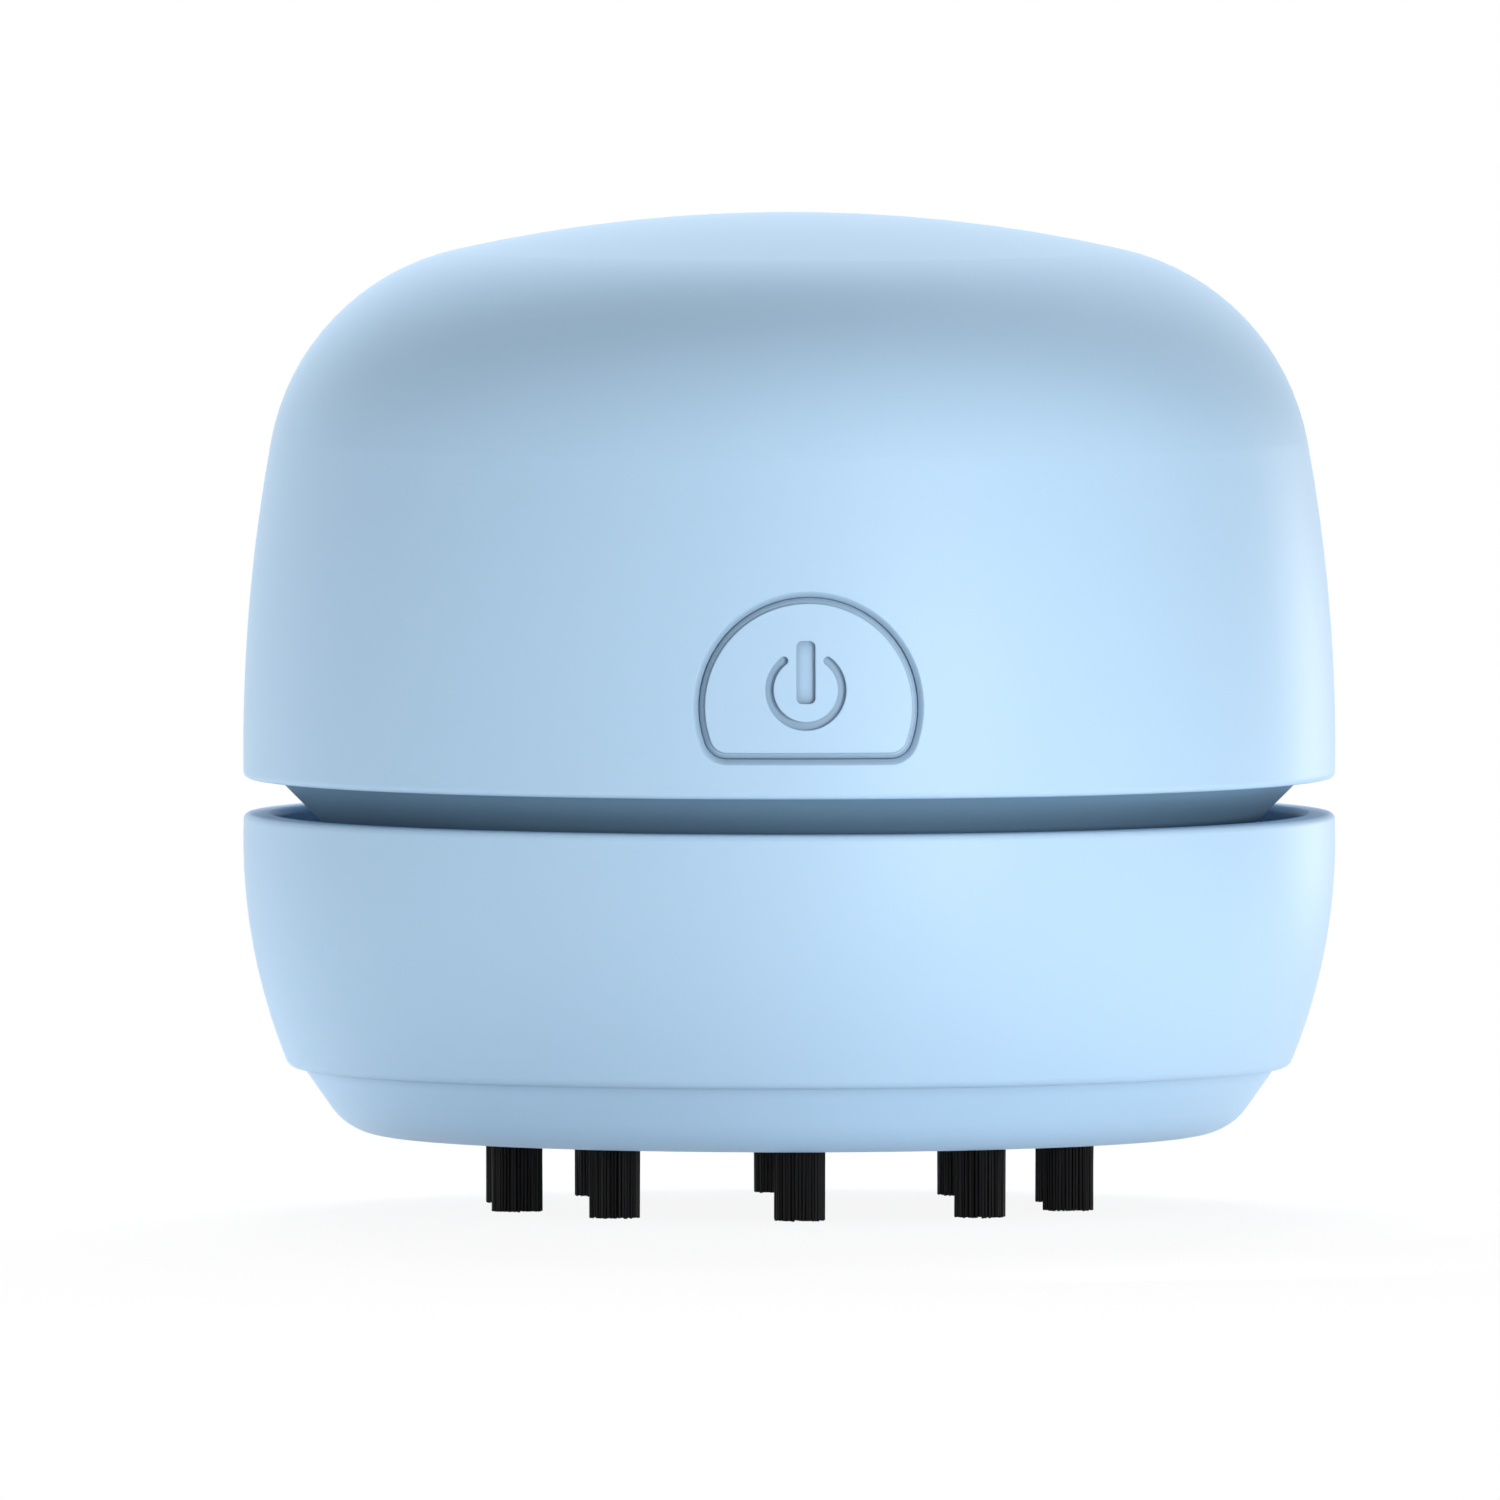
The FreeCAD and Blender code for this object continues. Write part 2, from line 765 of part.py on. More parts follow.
def bevel_window_rim(name, whole, size):
    """The shape, bevelled where the window's or the button's outline meets the dome's face."""
    doc.recompute()
    numbers = []
    for number, edge in enumerate(whole.Shape.Edges, 1):
        points = [vertex.Point for vertex in edge.Vertexes]
        points.append(edge.valueAt((edge.FirstParameter + edge.LastParameter) / 2))
        reach = max(math.hypot(point.x, point.z - window_level.value) for point in points)
        in_window = reach < s.window_radius.value and max(point.y for point in points) < 0
        if in_window and all(on_dome_face(point) for point in points):
            numbers.append(number)
    bevel = doc.addObject("Part::Chamfer", name)
    bevel.Base = whole
    bevel.Edges = [(number, size.value, size.value) for number in numbers]
    return bevel


socket_level = deck_level + s.standoff_height + s.charge_board_thickness + s.socket_height / 2


def make_upper_shell():
    """Dome with its button window, button guide, screw pillars and the openings at the back."""
    guide = button_prism("button_guide", s.guide_wall - s.window_edge, guide_end, s.body_radius)
    inner_parts = [guide]
    for number in range(SIZES["frame_screw_count"]):
        angle = (number + size_of(0.5)) * 360 / s.frame_screw_count
        x, y = polar(frame_screw_ring, angle)
        pillar = cylinder(f"pillar_{number + 1}", s.pillar_radius, shell_height, (x, y, deck_level))
        rib = doc.addObject("Part::Box", f"pillar_rib_{number + 1}")
        bind(rib, "Length", s.body_radius - frame_screw_ring)
        bind(rib, "Width", s.pillar_rib)
        bind(rib, "Height", shell_height)
        side_x, side_y = polar(s.pillar_rib / 2, angle)
        place(rib, (x + side_y, y - side_x, deck_level), Rotation(Vector(0, 0, 1), angle.value))
        bind(rib, "Placement.Rotation.Angle", angle)
        inner_parts += [pillar, rib]
    inside = common("shell_inner_parts", fuse("shell_inner_parts_whole", inner_parts), dome_filling)
    solid = fuse("shell_and_parts", [dome_wall, inside])
    window = button_prism("button_window", -s.window_edge, guide_end - s.overrun, s.body_radius + s.overrun)
    socket_hole = new_body("socket_hole")
    hole_sketch = sketch_on(socket_hole, "socket_hole_outline", "XZ_Plane", offset=-s.body_radius - s.overrun)
    draw_level_oblong(hole_sketch, s.socket_width + 2 * s.socket_gap, s.socket_height + 2 * s.socket_gap)
    pad(socket_hole, hole_sketch, s.shell_wall + 2 * s.overrun, "socket_hole_bar")
    light_spot = (s.light_offset, shell_inside - s.shell_wall, socket_level)
    light_hole = cylinder("light_hole", s.light_radius + s.light_gap, 3 * s.shell_wall, light_spot, ALONG_Y)
    holes = [window, socket_hole, light_hole]
    for number in range(SIZES["frame_screw_count"]):
        x, y = polar(frame_screw_ring, (number + size_of(0.5)) * 360 / s.frame_screw_count)
        depth = s.frame_screw_length
        holes.append(cylinder(f"pillar_pilot_{number + 1}", pilot_radius, depth, (x, y, deck_level)))
    whole = cut("upper_shell_whole", solid, fuse("shell_holes", holes))
    return bevel_window_rim("upper_shell", whole, s.window_edge)


def draw_level_oblong(sketch, width, height):
    """The socket's outline in an upright sketch, on the socket's level."""
    reach = (width - height) / 2
    half = height / 2
    draw(sketch, [
        (reach, socket_level - half),
        (reach + half, socket_level, half),
        (reach, socket_level + half, half),
        (-reach, socket_level + half),
        (-reach - half, socket_level, half),
        (-reach, socket_level - half, half),
    ])


# Button: a cap cut from the same dome, a stem, a retaining flange and a push pad

flange_front = shell_inside - s.stem_depth
flange_back = flange_front - s.flange_thickness
pad_end = flange_back - s.push_pad_height
stem_foot = deck_level + s.stem_rise


def make_power_button():
    shrink = s.window_edge + s.button_gap
    cap_bar = button_prism("button_cap_bar", -shrink, guide_end, s.body_radius + s.overrun)
    cap = common("button_cap", cap_bar, dome_wall)
    half = s.stem_width / 2
    low = (-half, -shell_inside - s.shell_wall / 2, stem_foot)
    high = (half, -flange_front, stem_foot + s.stem_height)
    stem_box = block("button_stem_box", low, high)
    stem = common("button_stem", stem_box, dome_filling)
    reach = s.window_radius + s.flange_overlap
    flange = block(
        "button_flange",
        (-reach, -flange_front, stem_foot),
        (reach, -flange_back, stem_foot + s.stem_height),
    )
    push_pad = cylinder(
        "button_push_pad",
        s.push_pad_radius,
        s.push_pad_height,
        (0, -flange_back, stem_foot + s.stem_height / 2),
        ALONG_Y,
    )
    whole = fuse("power_button_whole", [cap, stem, flange, push_pad])
    return bevel_window_rim("power_button", whole, s.button_edge)


# Fan frame: neck, exhaust ring, fan chamber, deck and collar in one moulding

cover_level = neck_foot - s.cover_wall


def make_fan_frame():
    body = new_body("fan_frame")
    section = upright_sketch(body, "frame_section")
    neck_top_radius = shell_inside - s.shell_fit
    groove_low = collar_foot + s.seal_rise
    groove_high = groove_low + s.seal_height + 2 * s.seal_gap
    groove_radius = collar_radius - s.seal_groove_depth
    motor_inside = s.motor_radius + s.motor_gap
    motor_outside = motor_inside + s.motor_ring_wall
    boss_hole = s.front_boss_radius + s.boss_gap
    draw(section, [
        (collar_inside, collar_foot),
        (collar_radius, collar_foot),
        (collar_radius, groove_low),
        (groove_radius, groove_low),
        (groove_radius, groove_high),
        (collar_radius, groove_high),
        (collar_radius, neck_foot),
        (neck_top_radius - s.neck_height, neck_foot),
        (neck_top_radius, shell_foot),
        (neck_top_radius, shell_foot + s.lip_height),
        (frame_radius, shell_foot + s.lip_height),
        (frame_radius, deck_level),
        (motor_outside, deck_level),
        (motor_outside, deck_level + s.motor_ring_height),
        (motor_inside, deck_level + s.motor_ring_height),
        (motor_inside, deck_level),
        (boss_hole, deck_level),
        (boss_hole, chamber_top),
        (chamber_radius, chamber_top),
        (chamber_radius, neck_foot),
        (collar_inside, neck_foot),
    ])
    draw(section, [
        (plenum_inside, neck_foot + s.floor_wall),
        (plenum_outside, neck_foot + s.floor_wall),
        (plenum_outside, chamber_top),
        (plenum_inside, chamber_top),
    ])
    revolve(body, section, "frame_turned")

    # Screw wells through the exhaust ring, and bosses in the fan chamber
    turn = 180 / s.frame_screw_count
    x, y = polar(frame_screw_ring, turn)
    well = flat_sketch(body, "well_outline", deck_level)
    draw_circle(well, x, y, s.pillar_radius)
    well_pad = pad(body, well, deck_level - neck_foot - s.floor_wall / 2, "well", reverse=True)
    around(body, well_pad, s.frame_screw_count, "wells")
    boss_x, boss_y = polar(cover_screw_ring, cover_screw_turn)
    boss = flat_sketch(body, "cover_boss_outline", chamber_top + s.deck_wall / 2)
    draw_circle(boss, boss_x, boss_y, s.cover_boss_radius)
    boss_pad = pad(body, boss, chamber_top + s.deck_wall / 2 - neck_foot, "cover_boss", reverse=True)
    around(body, boss_pad, s.cover_screw_count, "cover_bosses")

    # Bayonet lugs on the collar
    lug = upright_sketch(body, "lug_section", turn=-s.lug_angle / 2)
    lug_foot = collar_foot + s.lug_rise
    draw(lug, [
        (collar_radius - s.collar_wall / 2, lug_foot),
        (lug_radius, lug_foot),
        (lug_radius, lug_foot + s.lug_height),
        (collar_radius - s.collar_wall / 2, lug_foot + s.lug_height),
    ])
    lug_part = revolve(body, lug, "lug", s.lug_angle)
    around(body, lug_part, s.lug_count, "lugs")

    # Posts, tray and standoffs on the deck
    add_deck_fittings(body)

    # Holes: screws, air windows and exhaust slots
    through = flat_sketch(body, "frame_screw_hole_outline", deck_level)
    draw_circle(through, x, y, screw_hole_radius)
    hole = pocket(body, through, deck_level - neck_foot + s.overrun, "frame_screw_hole")
    around(body, hole, s.frame_screw_count, "frame_screw_holes")
    wide = flat_sketch(body, "frame_head_hole_outline", deck_level - s.frame_screw_land)
    draw_circle(wide, x, y, head_hole_radius)
    wide_depth = deck_level - s.frame_screw_land - neck_foot + s.overrun
    wide_hole = pocket(body, wide, wide_depth, "frame_head_hole")
    around(body, wide_hole, s.frame_screw_count, "frame_head_holes")
    pilot = flat_sketch(body, "cover_pilot_outline", neck_foot + s.cover_screw_length)
    draw_circle(pilot, boss_x, boss_y, pilot_radius)
    pilot_hole = pocket(body, pilot, s.cover_screw_length + s.overrun, "cover_pilot")
    around(body, pilot_hole, s.cover_screw_count, "cover_pilots")
    motor_hole = flat_sketch(body, "motor_screw_hole_outline", deck_level + s.overrun)
    draw_circle(motor_hole, s.motor_screw_ring, 0, screw_hole_radius)
    draw_circle(motor_hole, -s.motor_screw_ring, 0, screw_hole_radius)
    pocket(body, motor_hole, s.deck_wall + 2 * s.overrun, "motor_screw_holes")
    sill = neck_foot + s.floor_wall + s.air_window_sill
    window = flat_sketch(body, "air_window_outline", sill + s.air_window_height)
    half = s.air_window_width / 2
    draw_rectangle(window, (chamber_radius - s.overrun, -half), (plenum_inside + s.overrun / 2, half))
    opening = pocket(body, window, s.air_window_height, "air_window")
    around(body, opening, s.air_window_count, "air_windows")
    slot = flat_sketch(body, "exhaust_slot_outline", neck_foot + s.floor_wall + s.overrun / 2)
    slot_out = plenum_outside - s.exhaust_slot_edge
    slot_turn = 180 / s.exhaust_slot_count
    draw_turned_rectangle(slot, slot_out - s.exhaust_slot_length, slot_out, s.exhaust_slot_width, slot_turn)
    slot_hole = pocket(body, slot, s.floor_wall + s.overrun, "exhaust_slot")
    around(body, slot_hole, s.exhaust_slot_count, "exhaust_slots")
    return body


def draw_turned_rectangle(sketch, inside, outside, width, angle):
    """A rectangle that points away from the axis at an angle."""
    half = width / 2
    corners = []
    for along, across in ((outside, -half), (outside, half), (inside, half), (inside, -half)):
        x = along * cosine(angle) - across * sine(angle)
        y = along * sine(angle) + across * cosine(angle)
        corners.append((x, y))
    draw(sketch, corners)


# Places on the deck

switch_front = pad_end - s.button_travel - s.switch_clear
board_front = switch_front - s.switch_depth
board_back = board_front - s.board_thickness
switch_level = stem_foot + s.stem_height / 2
charge_board_front = charge_board_edge - s.charge_board_depth
standoff_y = charge_board_front + s.standoff_set_in
charge_board_level = deck_level + s.standoff_height
cell_near = -s.cell_offset + s.cell_thickness / 2
cell_far = -s.cell_offset - s.cell_thickness / 2


def add_deck_fittings(body):
    """Slotted posts for the switch board, the battery tray and the charge board's standoffs."""
    half = s.switch_board_width / 2
    inner = half - s.post_width / 2
    post_back = -board_back + (s.post_depth - s.board_thickness) / 2
    post_front = -board_front - (s.post_depth - s.board_thickness) / 2
    for side, name in ((1, "right"), (-1, "left")):
        post = flat_sketch(body, f"switch_post_{name}_outline", deck_level - s.deck_wall / 2)
        edges = sorted([side * inner, side * (inner + s.post_width)], key=lambda size: size.value)
        draw_rectangle(post, (edges[0], post_front), (edges[1], post_back))
        pad(body, post, s.post_height + s.deck_wall / 2, f"switch_post_{name}")
    board_slot = flat_sketch(body, "switch_board_slot_outline", deck_level + s.post_height + s.overrun)
    draw_rectangle(
        board_slot,
        (-half - s.board_gap, -board_front - s.board_gap),
        (half + s.board_gap, -board_back + s.board_gap),
    )
    pocket(body, board_slot, s.post_height + s.overrun, "switch_board_slot")
    tray = flat_sketch(body, "tray_outline", deck_level - s.deck_wall / 2)
    gap = s.cell_gap
    wall = s.cell_gap + s.tray_wall
    half_cell = s.cell_length / 2
    draw_rectangle(tray, (cell_far - wall, -half_cell - wall), (cell_near + wall, half_cell + wall))
    draw_rectangle(tray, (cell_far - gap, -half_cell - gap), (cell_near + gap, half_cell + gap))
    pad(body, tray, s.tray_height + s.deck_wall / 2, "battery_tray")
    for side, name in ((1, "right"), (-1, "left")):
        standoff = flat_sketch(body, f"standoff_{name}_outline", deck_level - s.deck_wall / 2)
        draw_circle(standoff, side * s.standoff_spread, standoff_y, s.standoff_radius)
        pad(body, standoff, s.standoff_height + s.deck_wall / 2, f"standoff_{name}")
        hole = flat_sketch(body, f"standoff_{name}_pilot_outline", charge_board_level)
        draw_circle(hole, side * s.standoff_spread, standoff_y, pilot_radius)
        depth = s.small_screw_length - s.charge_board_thickness + s.pilot_spare
        pocket(body, hole, depth, f"standoff_{name}_pilot")


# Screws: a flat head below its seat and a shank above it, or the other way up

def pan_screw(name, spot, length, points_up=True):
    x, y, seat = spot
    head_foot = seat - s.screw_head_height if points_up else seat
    shank_foot = seat if points_up else seat - length
    head = cylinder(f"{name}_head", s.screw_head_radius, s.screw_head_height, (x, y, head_foot))
    shank = cylinder(f"{name}_shank", s.thread_radius, length, (x, y, shank_foot))
    return fuse(name, [head, shank])


def ring_of_screws(name, ring_radius, first_turn, count, seat, length):
    screws = []
    for number in range(SIZES[count]):
        angle = first_turn + number * 360 / getattr(s, count)
        x, y = polar(ring_radius, angle)
        screws.append(pan_screw(f"{name}_{number + 1}", (x, y, seat), length))
    return group(name, screws)


def make_frame_screws():
    seat = deck_level - s.frame_screw_land
    turn = 180 / s.frame_screw_count
    return ring_of_screws("frame_screws", frame_screw_ring, turn, "frame_screw_count", seat, s.frame_screw_length)


def make_base_screws():
    seat = base_foot + s.base_head_recess
    turn = 180 / s.base_screw_count
    return ring_of_screws("base_screws", base_screw_ring, turn, "base_screw_count", seat, s.base_screw_length)


def make_motor_screws():
    screws = []
    for side, name in ((1, "right"), (-1, "left")):
        spot = (side * s.motor_screw_ring, 0, chamber_top)
        screws.append(pan_screw(f"motor_screw_{name}", spot, s.small_screw_length))
    return group("motor_screws", screws)


def make_charge_board_screws():
    screws = []
    for side, name in ((1, "right"), (-1, "left")):
        spot = (side * s.standoff_spread, standoff_y, charge_board_level + s.charge_board_thickness)
        screws.append(pan_screw(f"board_screw_{name}", spot, s.small_screw_length, points_up=False))
    return group("charge_board_screws", screws)


# Fan cover and its countersunk screws

def make_fan_cover():
    body = new_body("fan_cover")
    section = upright_sketch(body, "cover_section")
    lip_radius = s.eye_radius + s.eye_lip_width
    draw(section, [
        (s.eye_radius, cover_level),
        (collar_inside - s.cover_gap, cover_level),
        (collar_inside - s.cover_gap, neck_foot),
        (lip_radius, neck_foot),
        (lip_radius, neck_foot + s.eye_lip),
        (s.eye_radius, neck_foot + s.eye_lip),
    ])
    revolve(body, section, "cover_turned")
    x, y = polar(cover_screw_ring, cover_screw_turn)
    sink = body.newObject("PartDesign::SubtractiveCone", "countersink")
    bind(sink, "Radius1", s.countersink_radius + s.countersink_gap)
    bind(sink, "Radius2", screw_hole_radius + s.countersink_gap)
    bind(sink, "Height", s.cover_wall)
    place(sink, (x, y, cover_level))
    around(body, sink, s.cover_screw_count, "countersinks")
    return body


def make_fan_cover_screws():
    screws = []
    for number in range(SIZES["cover_screw_count"]):
        angle = cover_screw_turn + number * 360 / s.cover_screw_count
        x, y = polar(cover_screw_ring, angle)
        name = f"fan_cover_screw_{number + 1}"
        head = cone(f"{name}_head", s.countersink_radius, s.thread_radius, s.cover_wall, (x, y, cover_level))
        length = s.cover_screw_length - s.pilot_spare
        shank = cylinder(f"{name}_shank", s.thread_radius, length, (x, y, neck_foot))
        screws.append(fuse(name, [head, shank]))
    return group("fan_cover_screws", screws)


# Impeller: hub, back plate and backward curved blades, pressed on the motor's shaft

blade_foot = neck_foot + s.impeller_clearance
plate_foot = blade_foot + s.blade_height
plate_top = plate_foot + s.back_plate


def blade_outline():
    """A curved strip between two arcs of one centre, from the hub out to the rim."""
    start = (s.blade_start_radius, size_of(0))
    rim = impeller_radius - s.blade_wall / 2
    end = polar(rim, s.blade_sweep_angle)
    run_x = end[0] - start[0]
    run_y = end[1] - start[1]
    run_squared = run_x * run_x + run_y * run_y
    share = root((s.blade_curve_radius * s.blade_curve_radius - run_squared / 4) / run_squared)
    centre_x = (start[0] + end[0]) / 2 - run_y * share
    centre_y = (start[1] + end[1]) / 2 + run_x * share
    corners = []
    for side, ends, turn in ((-1, (start, end), 1), (1, (end, start), -1)):
        radius = s.blade_curve_radius + side * s.blade_wall / 2
        scale = radius / s.blade_curve_radius
        spots = [(centre_x + (x - centre_x) * scale, centre_y + (y - centre_y) * scale) for x, y in ends]
        corners.append(spots[0])
        corners.append((spots[1][0], spots[1][1], turn * radius))
    return corners


def make_impeller():
    body = new_body("impeller")
    section = upright_sketch(body, "impeller_section")
    flare = s.hub_flare_radius
    draw(section, [
        (s.shaft_radius, blade_foot),
        (s.hub_tip_radius, blade_foot),
        (s.hub_root_radius, plate_foot, -flare),
        (impeller_radius, plate_foot),
        (impeller_radius, plate_top),
        (s.shaft_radius, plate_top),
    ])
    revolve(body, section, "impeller_turned")
    outline = flat_sketch(body, "blade_outline", blade_foot)
    draw(outline, blade_outline())
    blade = pad(body, outline, s.blade_height + s.back_plate / 2, "blade")
    around(body, blade, s.blade_count, "blades")
    return body


# Motor: can with its front boss, end cap, terminals and shaft

bore_radius = s.shaft_radius + s.shaft_gap


def make_motor_can():
    body = new_body("motor_can")
    section = upright_sketch(body, "can_section")
    draw(section, [
        (bore_radius, deck_level - s.front_boss_height),
        (s.front_boss_radius, deck_level - s.front_boss_height),
        (s.front_boss_radius, deck_level),
        (s.motor_radius, deck_level),
        (s.motor_radius, can_top - s.can_round),
        (s.motor_radius - s.can_round, can_top, s.can_round),
        (bore_radius, can_top),
    ])
    revolve(body, section, "can_turned")
    holes = flat_sketch(body, "can_thread_outline", deck_level)
    draw_circle(holes, s.motor_screw_ring, 0, pilot_radius)
    draw_circle(holes, -s.motor_screw_ring, 0, pilot_radius)
    depth = s.small_screw_length - s.deck_wall + s.pilot_spare
    pocket(body, holes, depth, "can_threads", reverse=True)
    return body


def make_motor_end_cap():
    body = new_body("motor_end_cap")
    section = upright_sketch(body, "end_cap_section")
    cap_radius = s.motor_radius - s.end_cap_inset
    draw(section, [
        (bore_radius, can_top),
        (cap_radius, can_top),
        (cap_radius, end_cap_top - s.can_round),
        (cap_radius - s.can_round, end_cap_top, s.can_round),
        (s.rear_boss_radius, end_cap_top),
        (s.rear_boss_radius, motor_top),
        (bore_radius, motor_top),
    ])
    revolve(body, section, "end_cap_turned")
    return body


def make_motor_terminals():
    tabs = []
    for side, name in ((1, "right"), (-1, "left")):
        middle = side * s.terminal_offset
        low = (middle - s.terminal_width / 2, -s.terminal_thickness / 2, end_cap_top)
        high = (middle + s.terminal_width / 2, s.terminal_thickness / 2, end_cap_top + s.terminal_height)
        tabs.append(block(f"terminal_{name}", low, high))
    return group("motor_terminals", tabs)


def make_motor_shaft():
    return cylinder("motor_shaft", s.shaft_radius, motor_top - blade_foot, (0, 0, blade_foot))


# Filter: a rim with crossed spokes, a hub and a pull tab, and the pad that lies in it

filter_top = cover_level - s.filter_set_down
filter_foot = filter_top - s.filter_height
filter_radius = collar_inside - s.filter_gap
filter_inside = filter_radius - s.filter_rim


def make_filter_frame():
    body = new_body("filter_frame")
    rim = flat_sketch(body, "filter_rim_outline", filter_foot)
    draw_circle(rim, 0, 0, filter_radius)
    draw_circle(rim, 0, 0, filter_inside)
    pad(body, rim, s.filter_height, "filter_rim")
    reach = filter_inside + s.filter_rim / 2
    half = s.filter_spoke_width / 2
    for name, low, high in (
        ("filter_cross_bar", (-reach, -half), (reach, half)),
        ("filter_long_bar", (-half, -reach), (half, reach)),
    ):
        bar = flat_sketch(body, f"{name}_outline", filter_foot)
        draw_rectangle(bar, low, high)
        pad(body, bar, s.filter_spoke_height, name)
    hub = flat_sketch(body, "filter_hub_outline", filter_foot)
    draw_circle(hub, 0, 0, s.filter_hub_radius)
    pad(body, hub, s.filter_spoke_height, "filter_hub")
    tab = flat_sketch(body, "filter_tab_outline", filter_foot + s.filter_spoke_height / 2)
    half_tab = s.filter_tab_length / 2
    half_wall = s.filter_tab_thickness / 2
    draw_rectangle(tab, (-half_tab, -half_wall), (half_tab, half_wall))
    pad(body, tab, s.filter_tab_height + s.filter_spoke_height / 2, "filter_tab", reverse=True)
    return body


def make_filter_pad():
    foot = filter_foot + s.filter_spoke_height
    return cylinder("filter_pad", filter_inside - s.filter_gap / 2, filter_top - foot, (0, 0, foot))


# Seal between the collar and the bowl's inner ring

def make_seal_ring():
    body = new_body("seal_ring")
    section = upright_sketch(body, "seal_section")
    inside = collar_radius - s.seal_groove_depth + s.seal_gap
    outside = ring_inside - s.seal_gap
    foot = collar_foot + s.seal_rise + s.seal_gap
    bulge_radius = (s.seal_height * s.seal_height / 4 + s.seal_bulge * s.seal_bulge) / (2 * s.seal_bulge)
    draw(section, [
        (inside, foot),
        (outside - s.seal_bulge, foot),
        (outside - s.seal_bulge, foot + s.seal_height, bulge_radius),
        (inside, foot + s.seal_height),
    ])
    revolve(body, section, "seal_turned")
    return body


# Dust bowl: outer wall, inner ring with bayonet slots, chimney and screw bosses

bowl_centre_x = s.body_radius - s.bowl_side_radius
bowl_centre_z = rim_level - s.bowl_upright_drop


def bowl_radius(depth, level):
    """Radius of the bowl's side at a level, at a depth under its outer face."""
    reach = s.bowl_side_radius - depth
    drop = bowl_centre_z - level
    return bowl_centre_x + root(reach * reach - drop * drop)


def make_dust_bowl():
    body = new_body("dust_bowl")
    section = upright_sketch(body, "bowl_section")
    rim_outside = bowl_radius(0, rim_level)
    rim_inside = bowl_radius(s.bowl_wall, rim_level)
    foot_radius = bowl_radius(0, bowl_foot)
    draw(section, [
        (0, bowl_foot),
        (foot_radius, bowl_foot),
        (rim_outside, rim_level, s.bowl_side_radius),
        (rim_inside, rim_level),
        (bowl_radius(s.bowl_wall, bowl_floor_level), bowl_floor_level, s.bowl_wall - s.bowl_side_radius),
        (ring_radius, bowl_floor_level),
        (ring_radius, ring_top),
        (ring_inside, ring_top),
        (ring_inside, bowl_floor_level),
        (0, bowl_floor_level),
    ])
    revolve(body, section, "bowl_turned")
    round_edges(body, circle_at(rim_level, rim_outside), s.foot_round, "bowl_rim_round")
    round_edges(body, circle_at(rim_level, rim_inside), s.foot_round, "bowl_rim_inner_round")
    round_edges(body, circle_at(bowl_foot, foot_radius), s.bowl_foot_round, "bowl_foot_round")

    # Chimney around the inlet, and bosses for the base's screws
    chimney = flat_sketch(body, "chimney_outline", bowl_foot + s.bowl_floor / 2)
    draw_oblong(chimney, s.inlet_length + 2 * s.inlet_wall, s.inlet_width + 2 * s.inlet_wall)
    pad(body, chimney, s.bowl_floor / 2 + s.inlet_height, "chimney")
    inlet_top = bowl_floor_level + s.inlet_height
    inlet = flat_sketch(body, "inlet_outline", inlet_top + s.overrun)
    draw_oblong(inlet, s.inlet_length, s.inlet_width)
    pocket(body, inlet, inlet_top - bowl_foot + 2 * s.overrun, "inlet")
    x, y = polar(base_screw_ring, 180 / s.base_screw_count)
    boss = flat_sketch(body, "base_boss_outline", bowl_foot + s.bowl_floor / 2)
    draw_circle(boss, x, y, s.base_boss_radius)
    boss_pad = pad(body, boss, s.bowl_floor / 2 + s.base_boss_height, "base_boss")
    around(body, boss_pad, s.base_screw_count, "base_bosses")
    pilot = flat_sketch(body, "base_pilot_outline", bowl_foot)
    draw_circle(pilot, x, y, pilot_radius)
    depth = s.base_screw_length - (s.base_depth - s.base_head_recess) + s.pilot_spare
    pilot_hole = pocket(body, pilot, depth, "base_pilot", reverse=True)
    around(body, pilot_hole, s.base_screw_count, "base_pilots")

    # Bayonet slots: down from the ring's top, then along for the twist
    slot_foot = collar_foot + s.lug_rise - s.lug_gap
    slot_top = slot_foot + s.lug_height + 2 * s.lug_gap
    half_turn = s.lug_angle / 2 + s.lug_gap_angle
    slot_radius = lug_radius + s.lug_gap
    for name, top, first, sweep in (
        ("entry_slot", ring_top + s.overrun, -half_turn, 2 * half_turn),
        ("twist_slot", slot_top, -half_turn - s.twist_angle, 2 * half_turn + s.twist_angle),
    ):
        slot = upright_sketch(body, f"{name}_section", turn=first)
        draw_rectangle(slot, (ring_inside - s.ring_gap, slot_foot), (slot_radius, top))
        slot_cut = groove(body, slot, name, sweep)
        around(body, slot_cut, s.lug_count, f"{name}s")
    return body


# Brush base: a solid plate with the flared mouth, tuft sockets and screw holes

def tuft_places():
    """Each tuft's spot, with angles measured from the front, five on each side of it."""
    near = s.tuft_angle_near
    wide = s.tuft_angle_wide
    angles = [size_of(0), near, wide, 180 - wide, 180 - near, size_of(180), near - 180, wide - 180, -wide, -near]
    return [(tuft_ring_radius * sine(angle), -tuft_ring_radius * cosine(angle)) for angle in angles]


